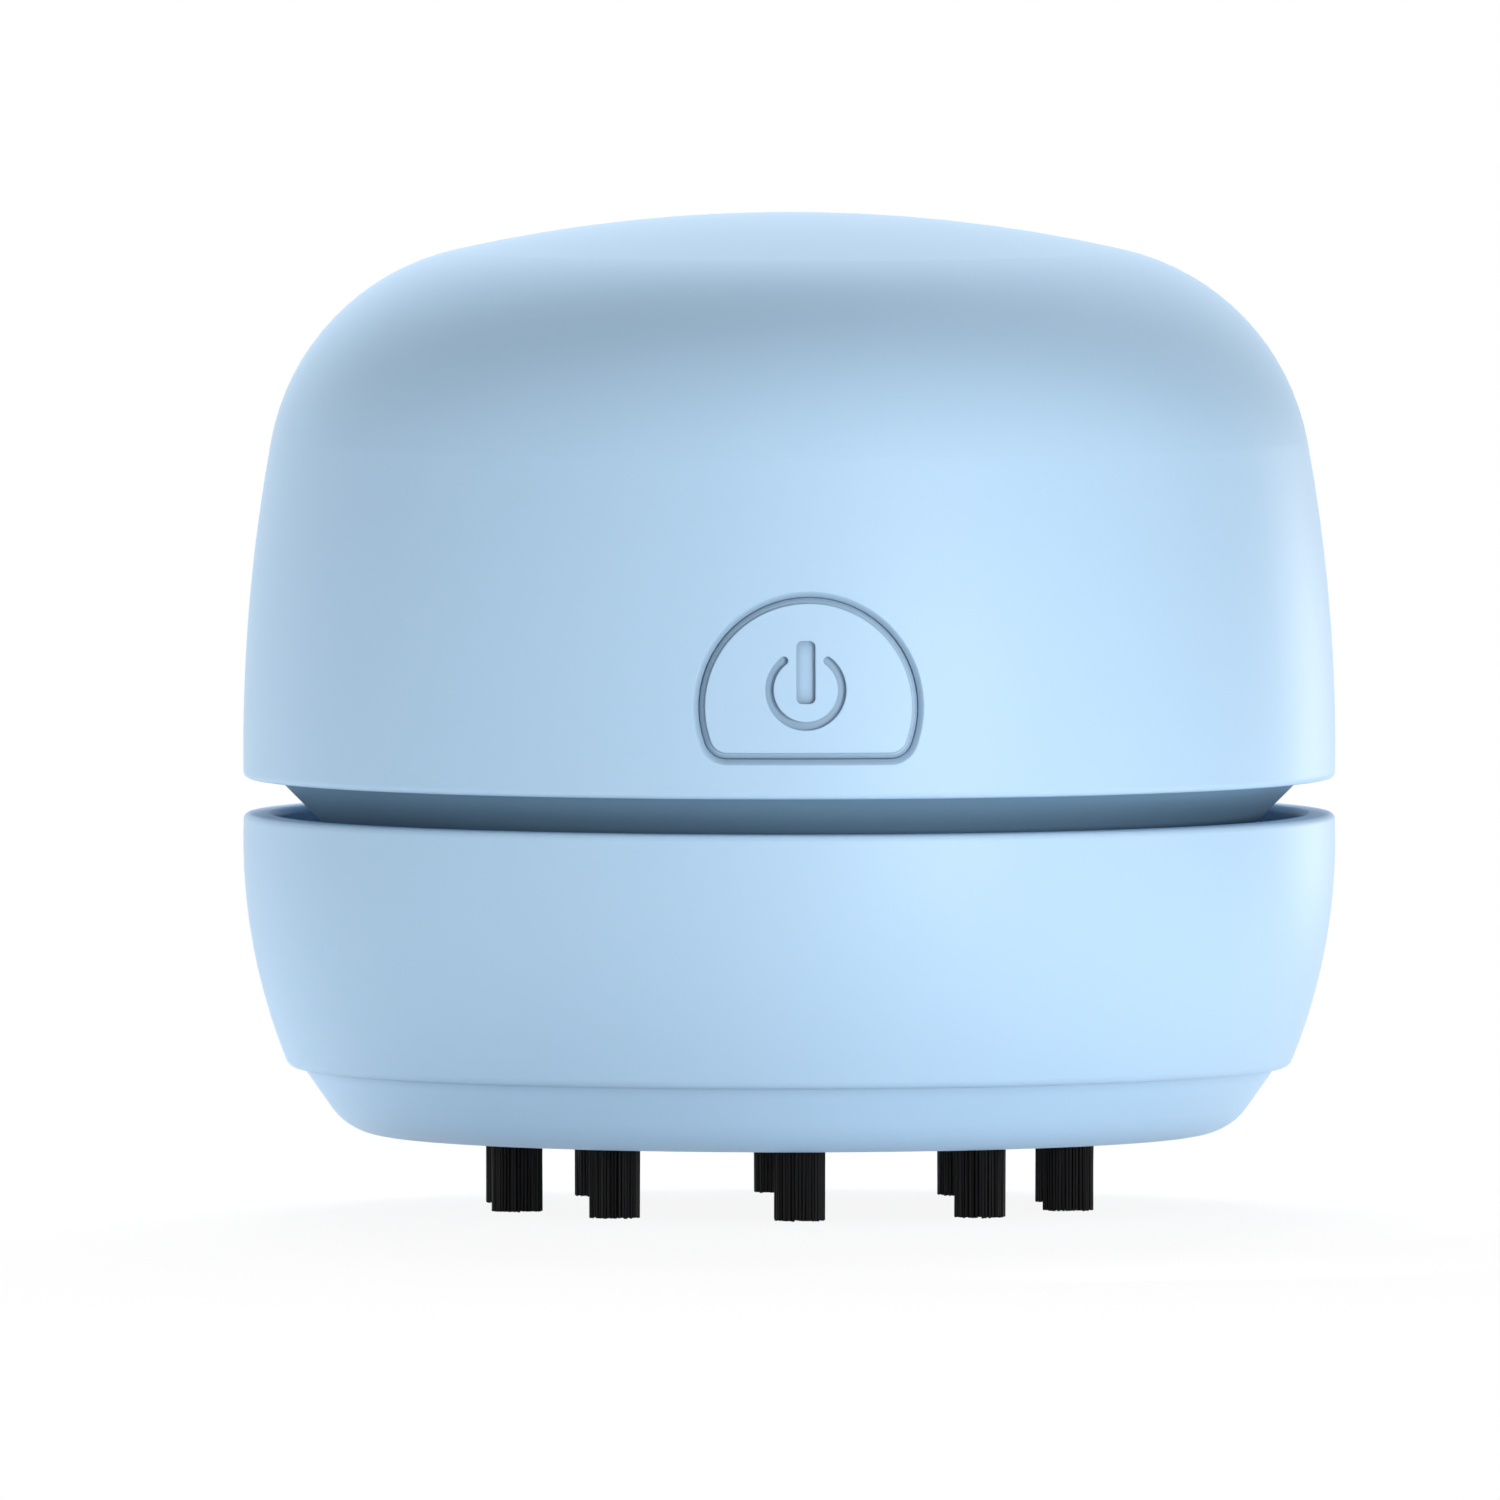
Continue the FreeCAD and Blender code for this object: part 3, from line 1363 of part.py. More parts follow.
def make_brush_base():
    body = new_body("brush_base")
    section = upright_sketch(body, "base_section")
    corner_rise = s.base_corner_radius * (1 - cosine(s.base_flank_angle))
    slope = cosine(s.base_flank_angle) / sine(s.base_flank_angle)
    corner_x = base_top_radius - (s.base_depth - corner_rise) * slope
    draw(section, [
        (0, base_foot),
        (corner_x - s.base_corner_radius * sine(s.base_flank_angle), base_foot),
        (corner_x, base_foot + corner_rise, s.base_corner_radius),
        (base_top_radius, bowl_foot),
        (0, bowl_foot),
    ])
    revolve(body, section, "base_turned")
    low = flat_sketch(body, "mouth_outline", base_foot)
    draw_oblong(low, s.mouth_length, s.mouth_width)
    high = flat_sketch(body, "inlet_foot_outline", bowl_foot)
    draw_oblong(high, s.inlet_length, s.inlet_width)
    mouth = body.newObject("PartDesign::SubtractiveLoft", "mouth")
    mouth.Profile = low
    mouth.Sections = [high]
    mouth.Ruled = True
    sockets = flat_sketch(body, "tuft_socket_outline", base_foot)
    for x, y in tuft_places():
        draw_circle(sockets, x, y, s.tuft_radius + s.tuft_gap)
    pocket(body, sockets, s.tuft_socket_depth + s.tuft_gap, "tuft_sockets", reverse=True)
    x, y = polar(base_screw_ring, 180 / s.base_screw_count)
    wide = flat_sketch(body, "base_head_hole_outline", base_foot)
    draw_circle(wide, x, y, head_hole_radius)
    wide_hole = pocket(body, wide, s.base_head_recess, "base_head_hole", reverse=True)
    around(body, wide_hole, s.base_screw_count, "base_head_holes")
    narrow = flat_sketch(body, "base_screw_hole_outline", bowl_foot)
    draw_circle(narrow, x, y, screw_hole_radius)
    hole = pocket(body, narrow, s.base_depth, "base_screw_hole")
    around(body, hole, s.base_screw_count, "base_screw_holes")
    return body


def make_bristle_tufts():
    names = []
    for number, (x, y) in enumerate(tuft_places(), 1):
        name = f"bristle_tuft_{number:02d}"
        tip_radius = s.tuft_radius - s.tuft_tip_round
        tip = cone(f"{name}_tip", tip_radius, s.tuft_radius, s.tuft_tip_round, (x, y, 0))
        length = s.tuft_exposed + s.tuft_socket_depth - s.tuft_tip_round
        stem = cylinder(f"{name}_stem", s.tuft_radius, length, (x, y, s.tuft_tip_round))
        fuse(name, [tip, stem])
        names.append(name)
    return names


# Switch, its plunger and its board

def make_switch_body():
    half = s.switch_width / 2
    low = (-half, -switch_front, switch_level - half)
    high = (half, -board_front, switch_level + half)
    case = block("switch_case", low, high)
    hole_half = s.plunger_width / 2 + s.plunger_gap
    depth = s.plunger_inside + s.button_travel + s.switch_clear
    hole = block(
        "plunger_hole",
        (-hole_half, -switch_front - s.overrun, switch_level - hole_half),
        (hole_half, -switch_front + depth, switch_level + hole_half),
    )
    return cut("switch_body", case, hole)


def make_switch_plunger():
    half = s.plunger_width / 2
    low = (-half, -pad_end, switch_level - half)
    high = (half, -switch_front + s.plunger_inside, switch_level + half)
    return block("switch_plunger", low, high)


def make_switch_board():
    half = s.switch_board_width / 2
    low = (-half, -board_front, deck_level)
    high = (half, -board_back, deck_level + s.switch_board_height)
    return block("switch_board", low, high)


# Charge board with its socket, charge light and chip

board_top = charge_board_level + s.charge_board_thickness


def make_charge_board():
    half = s.charge_board_width / 2
    low = (-half, charge_board_front, charge_board_level)
    plate = block("charge_plate", low, (half, charge_board_edge, board_top))
    holes = []
    for side, name in ((1, "right"), (-1, "left")):
        spot = (side * s.standoff_spread, standoff_y, charge_board_level - s.overrun)
        height = s.charge_board_thickness + 2 * s.overrun
        holes.append(cylinder(f"charge_board_hole_{name}", screw_hole_radius, height, spot))
    return cut("charge_board", plate, fuse("charge_board_holes", holes))


def make_usb_socket():
    body = new_body("usb_socket")
    outline = sketch_on(body, "socket_outline", "XZ_Plane", offset=-socket_mouth)
    draw_level_oblong(outline, s.socket_width, s.socket_height)
    pad(body, outline, s.socket_length, "socket_shell")
    hollow = sketch_on(body, "socket_hollow_outline", "XZ_Plane", offset=-socket_mouth)
    draw_level_oblong(hollow, s.socket_width - 2 * s.socket_wall, s.socket_height - 2 * s.socket_wall)
    pocket(body, hollow, s.socket_length - s.tongue_base, "socket_hollow", reverse=True)
    return body


def make_usb_tongue():
    half = s.tongue_width / 2
    half_wall = s.tongue_thickness / 2
    root_y = socket_mouth - s.socket_length + s.tongue_base
    low = (-half, root_y, socket_level - half_wall)
    high = (half, root_y + s.tongue_length, socket_level + half_wall)
    return block("usb_tongue", low, high)


def make_charge_light():
    pipe_start = charge_board_edge - s.light_foot
    spot = (s.light_offset, pipe_start, socket_level)
    length = s.body_radius - s.light_set_in - pipe_start
    pipe = cylinder("light_pipe", s.light_radius, length, spot, ALONG_Y)
    low = (s.light_offset - s.light_radius, pipe_start, board_top)
    high = (s.light_offset + s.light_radius, charge_board_edge, socket_level)
    return fuse("charge_light", [pipe, block("light_foot_block", low, high)])


def make_charge_chip():
    half = s.chip_length / 2
    front = charge_board_front + s.standoff_set_in
    low = (-half, front, board_top)
    return block("charge_chip", low, (half, front + s.chip_width, board_top + s.chip_height))


# Battery cell on its foam pad

cell_foot = deck_level + s.pad_thickness


def make_battery_cell():
    body = new_body("battery_cell")
    outline = flat_sketch(body, "cell_outline", cell_foot)
    half = s.cell_length / 2
    turn = s.cell_round
    draw(outline, [
        (cell_near - turn, -half),
        (cell_near, -half + turn, turn),
        (cell_near, half - turn),
        (cell_near - turn, half, turn),
        (cell_far + turn, half),
        (cell_far, half - turn, turn),
        (cell_far, -half + turn),
        (cell_far + turn, -half, turn),
    ])
    pad(body, outline, s.cell_height, "cell")
    return body


def make_battery_pad():
    half = s.cell_length / 2
    return block("battery_pad", (cell_far, -half, deck_level), (cell_near, half, cell_foot))


# Leads: tubes of straight runs joined by tangent arcs

def lead_path(points, bend):
    """Edges of a route whose corners are rounded, as far as the runs allow."""
    edges = []
    start = points[0]
    for before, corner, after in zip(points, points[1:], points[2:]):
        inward = (before - corner).normalize()
        outward = (after - corner).normalize()
        half_turn = (math.pi - inward.getAngle(outward)) / 2
        room = s.lead_bend_share.value * min((before - corner).Length, (after - corner).Length)
        setback = min(bend * math.tan(half_turn), room)
        radius = setback / math.tan(half_turn)
        middle_way = (inward + outward).normalize()
        centre = corner + middle_way * (radius / math.cos(half_turn))
        arc_start = corner + inward * setback
        arc_end = corner + outward * setback
        edges.append(Part.LineSegment(start, arc_start).toShape())
        edges.append(Part.Arc(arc_start, centre - middle_way * radius, arc_end).toShape())
        start = arc_end
    edges.append(Part.LineSegment(start, points[-1]).toShape())
    return Part.Wire(edges)


def lead_tube(spots):
    points = [Vector(*[size_of(number).value for number in spot]) for spot in spots]
    path = lead_path(points, s.lead_bend.value)
    circle = Part.Circle(points[0], points[1] - points[0], s.lead_radius.value)
    section = Part.Wire([circle.toShape()])
    return path.makePipeShell([section], True, False)


def lead_group(name, routes):
    thing = doc.addObject("Part::Feature", name)
    thing.Shape = Part.makeCompound([lead_tube(route) for route in routes])
    thing.Placement = Placement()
    return thing


pad_row_y = charge_board_front + s.lead_pad_set_in


def make_leads():
    clear = s.lead_clear
    exit_y = s.cell_length / 2
    exit_z = cell_foot + s.cell_height - s.lead_exit_drop
    battery = []
    for number in (0, 1):
        x = -s.cell_offset + s.lead_pitch * (1 + number)
        pad_x = -s.lead_pitch * (number * -1 + 3)
        battery.append([
            (x, exit_y, exit_z),
            (x, exit_y + clear, exit_z),
            (x + s.lead_pitch, exit_y + clear, board_top + s.lead_rise),
            (pad_x, pad_row_y, board_top + s.lead_rise - clear / 2),
            (pad_x, pad_row_y, board_top),
        ])
    motor = []
    for side in (1, -1):
        pad_x = side * s.lead_pitch / 2
        top = end_cap_top + s.terminal_height / 2 + s.lead_radius
        back = s.motor_radius + clear
        motor.append([
            (side * s.terminal_offset, s.terminal_thickness / 2, top),
            (side * s.terminal_offset, back - clear, top),
            (side * s.terminal_offset, back, top - 2 * clear),
            (pad_x + side * clear, back + clear / 2, board_top + s.lead_rise),
            (pad_x, pad_row_y, board_top + clear),
            (pad_x, pad_row_y, board_top),
        ])
    switch = []
    for number in (0, 1):
        pad_x = s.lead_pitch * (2 + number)
        start_x = s.switch_width / 2 + s.lead_pitch * number
        level = switch_level + s.lead_pitch * number
        side_x = s.motor_radius + 2 * clear + s.lead_pitch * number
        switch.append([
            (start_x, -board_back, level),
            (start_x, -board_back + clear, level),
            (side_x, -s.motor_radius, level),
            (side_x, s.motor_radius, level),
            (pad_x, pad_row_y, board_top + clear),
            (pad_x, pad_row_y, board_top),
        ])
    lead_group("battery_leads", battery)
    lead_group("motor_leads", motor)
    lead_group("switch_leads", switch)


cover_screw_turn = size_of(180) / s.air_window_count

make_upper_shell()
make_power_button()
make_fan_frame()
make_frame_screws()
make_fan_cover()
make_fan_cover_screws()
make_impeller()
make_motor_can()
make_motor_end_cap()
make_motor_terminals()
make_motor_shaft()
make_motor_screws()
make_filter_frame()
make_filter_pad()
make_seal_ring()
make_dust_bowl()
make_brush_base()
make_base_screws()
tuft_names = make_bristle_tufts()
make_switch_body()
make_switch_plunger()
make_switch_board()
make_charge_board()
make_charge_board_screws()
make_usb_socket()
make_usb_tongue()
make_charge_light()
make_charge_chip()
make_battery_cell()
make_battery_pad()
make_leads()

NODES = [
    "upper_shell",
    "power_button",
    "fan_frame",
    "frame_screws",
    "fan_cover",
    "fan_cover_screws",
    "impeller",
    "motor_can",
    "motor_end_cap",
    "motor_terminals",
    "motor_shaft",
    "motor_screws",
    "filter_frame",
    "filter_pad",
    "seal_ring",
    "dust_bowl",
    "brush_base",
    "base_screws",
    "switch_body",
    "switch_plunger",
    "switch_board",
    "charge_board",
    "charge_board_screws",
    "usb_socket",
    "usb_tongue",
    "charge_light",
    "charge_chip",
    "battery_cell",
    "battery_pad",
    "battery_leads",
    "motor_leads",
    "switch_leads",
] + tuft_names

doc.recompute()
for thing in doc.Objects:
    if "Invalid" in thing.State or "Error" in thing.State:
        raise RuntimeError(f"{thing.Name} failed: {thing.State}")
for name in NODES:
    shape = doc.getObject(name).Shape
    if shape.isNull() or not shape.isValid() or not shape.Solids:
        raise RuntimeError(f"{name} is not a valid solid")

os.makedirs("parts", exist_ok=True)
for name in NODES:
    shape = doc.getObject(name).Shape
    shape.exportStep(f"parts/{name}.step")
    box = shape.optimalBoundingBox(False, False)
    size = f"{box.XLength:.2f} x {box.YLength:.2f} x {box.ZLength:.2f}, z {box.ZMin:.2f} to {box.ZMax:.2f}"
    print(f"{name}: {len(shape.Solids)} solid, {shape.Volume:.1f} cubic mm, {size}")
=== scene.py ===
# %% [markdown]
# # A desktop mini vacuum cleaner, dressed for its portrait
#
# The engineer's model already fixes every size: where the shell ends, how far the
# button travels, how the dust bowl comes off. This lesson leaves all of that alone
# and works on what the eye meets: satin plastic, a flush button with a sunken sign,
# bristles, screws, felt and light. Everything is in metres in the engineer's frame,
# so a piece goes where the measured model says and nothing is fitted by eye.

# %% Load the measured model
import json
import math
import random

import bpy
from mathutils import Matrix, Vector


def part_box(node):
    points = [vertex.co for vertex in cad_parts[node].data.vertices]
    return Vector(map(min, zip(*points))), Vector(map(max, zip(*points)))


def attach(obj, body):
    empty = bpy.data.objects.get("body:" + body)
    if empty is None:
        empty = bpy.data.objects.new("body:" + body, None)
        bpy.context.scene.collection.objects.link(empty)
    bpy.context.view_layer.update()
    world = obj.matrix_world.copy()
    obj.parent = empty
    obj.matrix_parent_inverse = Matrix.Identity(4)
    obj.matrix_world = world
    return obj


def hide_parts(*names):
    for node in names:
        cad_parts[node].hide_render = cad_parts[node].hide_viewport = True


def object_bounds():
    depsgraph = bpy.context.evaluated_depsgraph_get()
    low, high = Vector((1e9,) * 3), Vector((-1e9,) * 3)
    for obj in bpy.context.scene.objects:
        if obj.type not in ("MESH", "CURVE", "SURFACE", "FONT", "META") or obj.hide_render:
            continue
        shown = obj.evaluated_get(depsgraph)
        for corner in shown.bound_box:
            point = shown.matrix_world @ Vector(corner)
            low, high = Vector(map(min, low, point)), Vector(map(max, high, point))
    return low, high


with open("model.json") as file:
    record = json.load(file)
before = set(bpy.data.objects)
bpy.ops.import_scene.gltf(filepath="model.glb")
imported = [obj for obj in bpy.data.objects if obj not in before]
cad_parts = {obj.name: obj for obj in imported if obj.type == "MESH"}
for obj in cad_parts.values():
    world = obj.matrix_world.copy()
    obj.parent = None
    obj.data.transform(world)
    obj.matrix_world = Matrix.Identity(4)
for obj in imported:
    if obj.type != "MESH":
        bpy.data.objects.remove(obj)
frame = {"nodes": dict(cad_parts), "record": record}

cad_low, cad_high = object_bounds()
MM = 0.001
print("box in mm:", [round(x / MM, 2) for x in (*cad_low, *cad_high)])

# %% [markdown]
# ## The camera
#
# The product was photographed from far away with a long lens, so its upright sides
# stay parallel. Real lenses do this too: the further the camera, the flatter the
# picture. A few pixels of the photograph give the aim: where the axis stands, where
# the bristles touch down and how wide the body is. The body's own width in the
# measured model turns those pixels into metres.

# %% Camera
PHOTO_SIZE = 1500
PHOTO_BODY_WIDTH = 1092
PHOTO_AXIS_X = 789.3
PHOTO_TIP_Y = 1207
CAMERA_AZIMUTH = math.radians(-2.0)
CAMERA_ELEVATION = math.radians(2.35)
CAMERA_DISTANCE = 4.0

body_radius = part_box("upper_shell")[1].x
metres_per_pixel = 2 * body_radius / PHOTO_BODY_WIDTH
frame_width = PHOTO_SIZE * metres_per_pixel


def look_from(azimuth, elevation):
    """The direction from the object to someone who stands there."""
    flat = math.cos(elevation)
    return Vector((math.sin(azimuth) * flat, -math.cos(azimuth) * flat, math.sin(elevation)))


to_camera = look_from(CAMERA_AZIMUTH, CAMERA_ELEVATION)
camera_right = Vector((math.cos(CAMERA_AZIMUTH), math.sin(CAMERA_AZIMUTH), 0))
aim = camera_right * (PHOTO_SIZE / 2 - PHOTO_AXIS_X) * metres_per_pixel
aim.z = (PHOTO_TIP_Y - PHOTO_SIZE / 2) * metres_per_pixel

bpy.ops.object.select_all(action="DESELECT")
bpy.ops.object.camera_add(location=aim + to_camera * CAMERA_DISTANCE)
camera = bpy.context.object
camera.name = "portrait_camera"
camera.rotation_mode = "QUATERNION"
camera.rotation_quaternion = to_camera.to_track_quat("Z", "Y")
camera.data.lens = camera.data.sensor_width * CAMERA_DISTANCE / frame_width
camera.data.clip_end = 25 * CAMERA_DISTANCE
bpy.context.scene.camera = camera
print("lens:", round(camera.data.lens), "mm, frame:", round(frame_width / MM, 1), "mm wide")

# %% [markdown]
# ## Colours as they are written
#
# Blender's default view bends colours the way film does. A catalogue picture is not
# graded like that, so the plain Standard view is chosen: a pale blue of a given
# value shows as that value wherever the light on it is one.

# %% Colour view
bpy.context.scene.view_settings.view_transform = "Standard"
print("view:", bpy.context.scene.view_settings.view_transform)

# %% [markdown]
# ## Helpers for shader nodes
#
# A material is a small graph. These helpers keep each graph readable: one adds a
# node, one joins two sockets, one starts a material that has only an output and a
# Principled shader, and one turns a screen colour into the light values that
# shaders work with, by the curve that all screens share.

# %% Shader helpers
def add_node(tree, kind, place=(0, 0), **settings):
    """A node at its place in the graph, with its properties set."""
    node = tree.nodes.new(kind)
    node.location = place
    for name, value in settings.items():
        setattr(node, name, value)
    return node


def join(tree, start, end):
    tree.links.new(start, end)


def new_finish(name, **values):
    """A material with a Principled shader, its plain values set on its own sockets."""
    material = bpy.data.materials.new(name)
    material.use_nodes = True
    tree = material.node_tree
    tree.nodes.clear()
    output = add_node(tree, "ShaderNodeOutputMaterial", (900, 0))
    shader = add_node(tree, "ShaderNodeBsdfPrincipled", (600, 0))
    for socket, value in values.items():
        shader.inputs[socket.replace("_", " ")].default_value = value
    join(tree, shader.outputs["BSDF"], output.inputs["Surface"])
    return material, tree, shader


def linear(red, green, blue):
    """A colour as a screen shows it, 0 to 255, in the light values that shaders use."""

    def channel(value):
        value /= 255
        return value / 12.92 if value <= 0.04045 else ((value + 0.055) / 1.055) ** 2.4

    return (channel(red), channel(green), channel(blue), 1)


# %% [markdown]
# ## The room: white world, pale floor, soft boxes
#
# A catalogue picture stands on white. The world is white wherever the camera, a
# gloss or a glass looks at it, and much dimmer as a lamp, so that the background
# doesn't wash the object out. The floor mixes plain pale paint, which takes the
# shadow, with clear film for the camera, through which the white world shows. Close
# to the object the paint keeps a tenth, so a soft shadow grounds the bristles.
# Further out the clear film takes over smoothly, and the floor's end can't be seen.
# A dust bowl pulled down below the table's level shows through the floor as well.

# %% World
WHITE = (1, 1, 1, 1)
WORLD_FILL = 0.22

world = bpy.data.worlds.new("white_room")
bpy.context.scene.world = world
world.use_nodes = True
tree = world.node_tree
tree.nodes.clear()
world_output = add_node(tree, "ShaderNodeOutputWorld", (600, 0))
seen = add_node(tree, "ShaderNodeBackground", (200, 100))
fill = add_node(tree, "ShaderNodeBackground", (200, -100))
for background, strength in ((seen, 1), (fill, WORLD_FILL)):
    background.inputs["Color"].default_value = WHITE
    background.inputs["Strength"].default_value = strength
which = add_node(tree, "ShaderNodeMixShader", (400, 0))
path = add_node(tree, "ShaderNodeLightPath", (-400, 200))
camera_or_gloss = add_node(tree, "ShaderNodeMath", (-200, 200), operation="MAXIMUM")
any_look = add_node(tree, "ShaderNodeMath", (0, 200), operation="MAXIMUM")
join(tree, path.outputs["Is Camera Ray"], camera_or_gloss.inputs[0])
join(tree, path.outputs["Is Glossy Ray"], camera_or_gloss.inputs[1])
join(tree, camera_or_gloss.outputs[0], any_look.inputs[0])
join(tree, path.outputs["Is Transmission Ray"], any_look.inputs[1])
join(tree, any_look.outputs[0], which.inputs["Fac"])
join(tree, fill.outputs[0], which.inputs[1])
join(tree, seen.outputs[0], which.inputs[2])
join(tree, which.outputs[0], world_output.inputs["Surface"])
print("world fill:", WORLD_FILL)

# %% Floor
FLOOR_SIZE = 12.0
PAINT_TONE = 0.97
CLEAR_SHARE = 0.9
SHADOW_REACH = 0.2

bpy.ops.object.select_all(action="DESELECT")
bpy.ops.mesh.primitive_plane_add(size=FLOOR_SIZE, location=(0, 0, 0))
floor = bpy.context.object
floor.name = "floor"
bpy.ops.object.transform_apply(location=True, rotation=True, scale=True)

floor_finish, tree, shader = new_finish("floor_paint", Roughness=0.9)
shader.inputs["Base Color"].default_value = (PAINT_TONE, PAINT_TONE, PAINT_TONE, 1)
clear = add_node(tree, "ShaderNodeBsdfTransparent", (600, -500))
path = add_node(tree, "ShaderNodeLightPath", (100, 300))
either = add_node(tree, "ShaderNodeMath", (300, 300), operation="MAXIMUM")
place = add_node(tree, "ShaderNodeTexCoord", (-300, 600))
away = add_node(tree, "ShaderNodeVectorMath", (-100, 600), operation="LENGTH")
clearer = add_node(tree, "ShaderNodeMapRange", (100, 600), interpolation_type="SMOOTHSTEP")
clearer.inputs["From Min"].default_value = body_radius
clearer.inputs["From Max"].default_value = SHADOW_REACH
clearer.inputs["To Min"].default_value = CLEAR_SHARE
share = add_node(tree, "ShaderNodeMath", (500, 300), operation="MULTIPLY")
blend = add_node(tree, "ShaderNodeMixShader", (800, 200))
join(tree, place.outputs["Object"], away.inputs[0])
join(tree, away.outputs["Value"], clearer.inputs["Value"])
join(tree, clearer.outputs["Result"], share.inputs[1])
join(tree, path.outputs["Is Camera Ray"], either.inputs[0])
join(tree, path.outputs["Is Glossy Ray"], either.inputs[1])
join(tree, either.outputs[0], share.inputs[0])
join(tree, share.outputs[0], blend.inputs["Fac"])
join(tree, shader.outputs[0], blend.inputs[1])
join(tree, clear.outputs[0], blend.inputs[2])
join(tree, blend.outputs[0], tree.nodes["Material Output"].inputs["Surface"])
floor.data.materials.append(floor_finish)
print("floor is", FLOOR_SIZE, "m wide")

# %% [markdown]
# ### Soft boxes
#
# A large lamp close by wraps light round a form. The key stands in front, a little
# to the right, and low, so that the dome turns darker where it leans back. A lamp
# above and behind then lifts the crown again. A narrow strip near the front draws
# the lighter band down the right half, a box on the left and a strip behind the
# right edge keep both edges from going dark, and a small box low on the right gives
# the base's rounded foot its light rim.

# %% Lamps
def soft_box(name, azimuth, elevation, distance, width, height, power, glossy=True):
    """An area lamp on a sphere round the object, facing it."""
    centre = (cad_low + cad_high) / 2
    toward = look_from(math.radians(azimuth), math.radians(elevation))
    bpy.ops.object.light_add(type="AREA", location=centre + toward * distance)
    lamp = bpy.context.object
    lamp.name = name
    lamp.rotation_mode = "QUATERNION"
    lamp.rotation_quaternion = toward.to_track_quat("Z", "Y")
    lamp.data.shape = "RECTANGLE"
    lamp.data.size = width
    lamp.data.size_y = height
    lamp.data.energy = power
    lamp.visible_glossy = glossy
    lamp.visible_camera = False
    print(name, "at", azimuth, elevation, "degrees,", power, "W")


bpy.ops.object.select_all(action="DESELECT")
soft_box("key_box", azimuth=28, elevation=-4, distance=0.9, width=0.25, height=0.25, power=6.5)
soft_box("front_strip", azimuth=14, elevation=0, distance=0.11, width=0.02, height=0.12,
         power=0.023, glossy=False)
soft_box("crown_box", azimuth=180, elevation=42, distance=0.8, width=0.4, height=0.3,
         power=7.6, glossy=False)
soft_box("left_box", azimuth=-92, elevation=3, distance=0.6, width=0.2, height=0.3,
         power=1.15, glossy=False)
soft_box("right_strip", azimuth=130, elevation=-2, distance=0.21, width=0.04, height=0.07,
         power=0.06)
soft_box("low_right_box", azimuth=52, elevation=-22, distance=0.074, width=0.03, height=0.008,
         power=0.0014, glossy=False)

# %% [markdown]
# ## Shared surface effects
#
# Moulded plastic is never perfectly even. The mould's inside is eroded by sparks to
# a fine satin grain, and the melt cools in broad patches that differ a little in
# tone and gloss. Metal that was drawn or turned carries fine lines, and felt is a
# mat of short fibres. Each of these effects is needed in several finishes, so each
# is a node group: built once, with named inputs, and given its own values wherever
# it is used. The groups read Object coordinates, which don't slide when a piece
# moves.

# %% A helper for node groups
def new_group(name, inputs, outputs):
    """A shader node group with its sockets, and its input and output nodes."""
    group = bpy.data.node_groups.new(name, "ShaderNodeTree")
    for label, kind, value in inputs:
        socket = group.interface.new_socket(label, in_out="INPUT", socket_type=kind)
        if value is not None:
            socket.default_value = value
    for label, kind in outputs:
        group.interface.new_socket(label, in_out="OUTPUT", socket_type=kind)
    start = add_node(group, "NodeGroupInput", (-800, 0))
    end = add_node(group, "NodeGroupOutput", (800, 0))
    return group, start, end


SURFACE_INPUTS = [
    ("Vector", "NodeSocketVector", None),
    ("Fine Scale", "NodeSocketFloat", 4000.0),
    ("Broad Scale", "NodeSocketFloat", 60.0),
    ("Dark", "NodeSocketColor", (0.5, 0.5, 0.5, 1)),
    ("Light", "NodeSocketColor", (0.6, 0.6, 0.6, 1)),
    ("Smooth", "NodeSocketFloat", 0.4),
    ("Rough", "NodeSocketFloat", 0.5),
]
SURFACE_OUTPUTS = [
    ("Color", "NodeSocketColor"),
    ("Roughness", "NodeSocketFloat"),
    ("Height", "NodeSocketFloat"),
]


def shade_between(group, start, end, value, gloss_value, height):
    """Join a value to the colour and roughness outputs, each between its two inputs."""
    colour = add_node(group, "ShaderNodeMix", (500, 200), data_type="RGBA")
    gloss = add_node(group, "ShaderNodeMapRange", (500, -50))
    join(group, value, colour.inputs["Factor"])
    join(group, start.outputs["Dark"], colour.inputs["A"])
    join(group, start.outputs["Light"], colour.inputs["B"])
    join(group, gloss_value, gloss.inputs["Value"])
    join(group, start.outputs["Smooth"], gloss.inputs["To Min"])
    join(group, start.outputs["Rough"], gloss.inputs["To Max"])
    join(group, colour.outputs["Result"], end.inputs["Color"])
    join(group, gloss.outputs["Result"], end.inputs["Roughness"])
    join(group, height, end.inputs["Height"])


# %% Group: the grain and flow of moulded plastic
GRAIN_SHARE = 0.35

moulded_grain, start, end = new_group("moulded_grain", SURFACE_INPUTS, SURFACE_OUTPUTS)
fine = add_node(moulded_grain, "ShaderNodeTexNoise", (-400, 100))
fine.inputs["Detail"].default_value = 3
broad = add_node(moulded_grain, "ShaderNodeTexNoise", (-400, -200))
broad.inputs["Detail"].default_value = 2
both = add_node(moulded_grain, "ShaderNodeMath", (0, -100), operation="MULTIPLY_ADD")
both.inputs[1].default_value = GRAIN_SHARE
for noise, scale in ((fine, "Fine Scale"), (broad, "Broad Scale")):
    join(moulded_grain, start.outputs["Vector"], noise.inputs["Vector"])
    join(moulded_grain, start.outputs[scale], noise.inputs["Scale"])
join(moulded_grain, fine.outputs["Fac"], both.inputs[0])
join(moulded_grain, broad.outputs["Fac"], both.inputs[2])
shade_between(moulded_grain, start, end, value=broad.outputs["Fac"],
              gloss_value=both.outputs[0], height=fine.outputs["Fac"])
print("group:", moulded_grain.name)

# %% Group: the fine lines of drawn and turned metal
LINE_STRETCH = 0.04

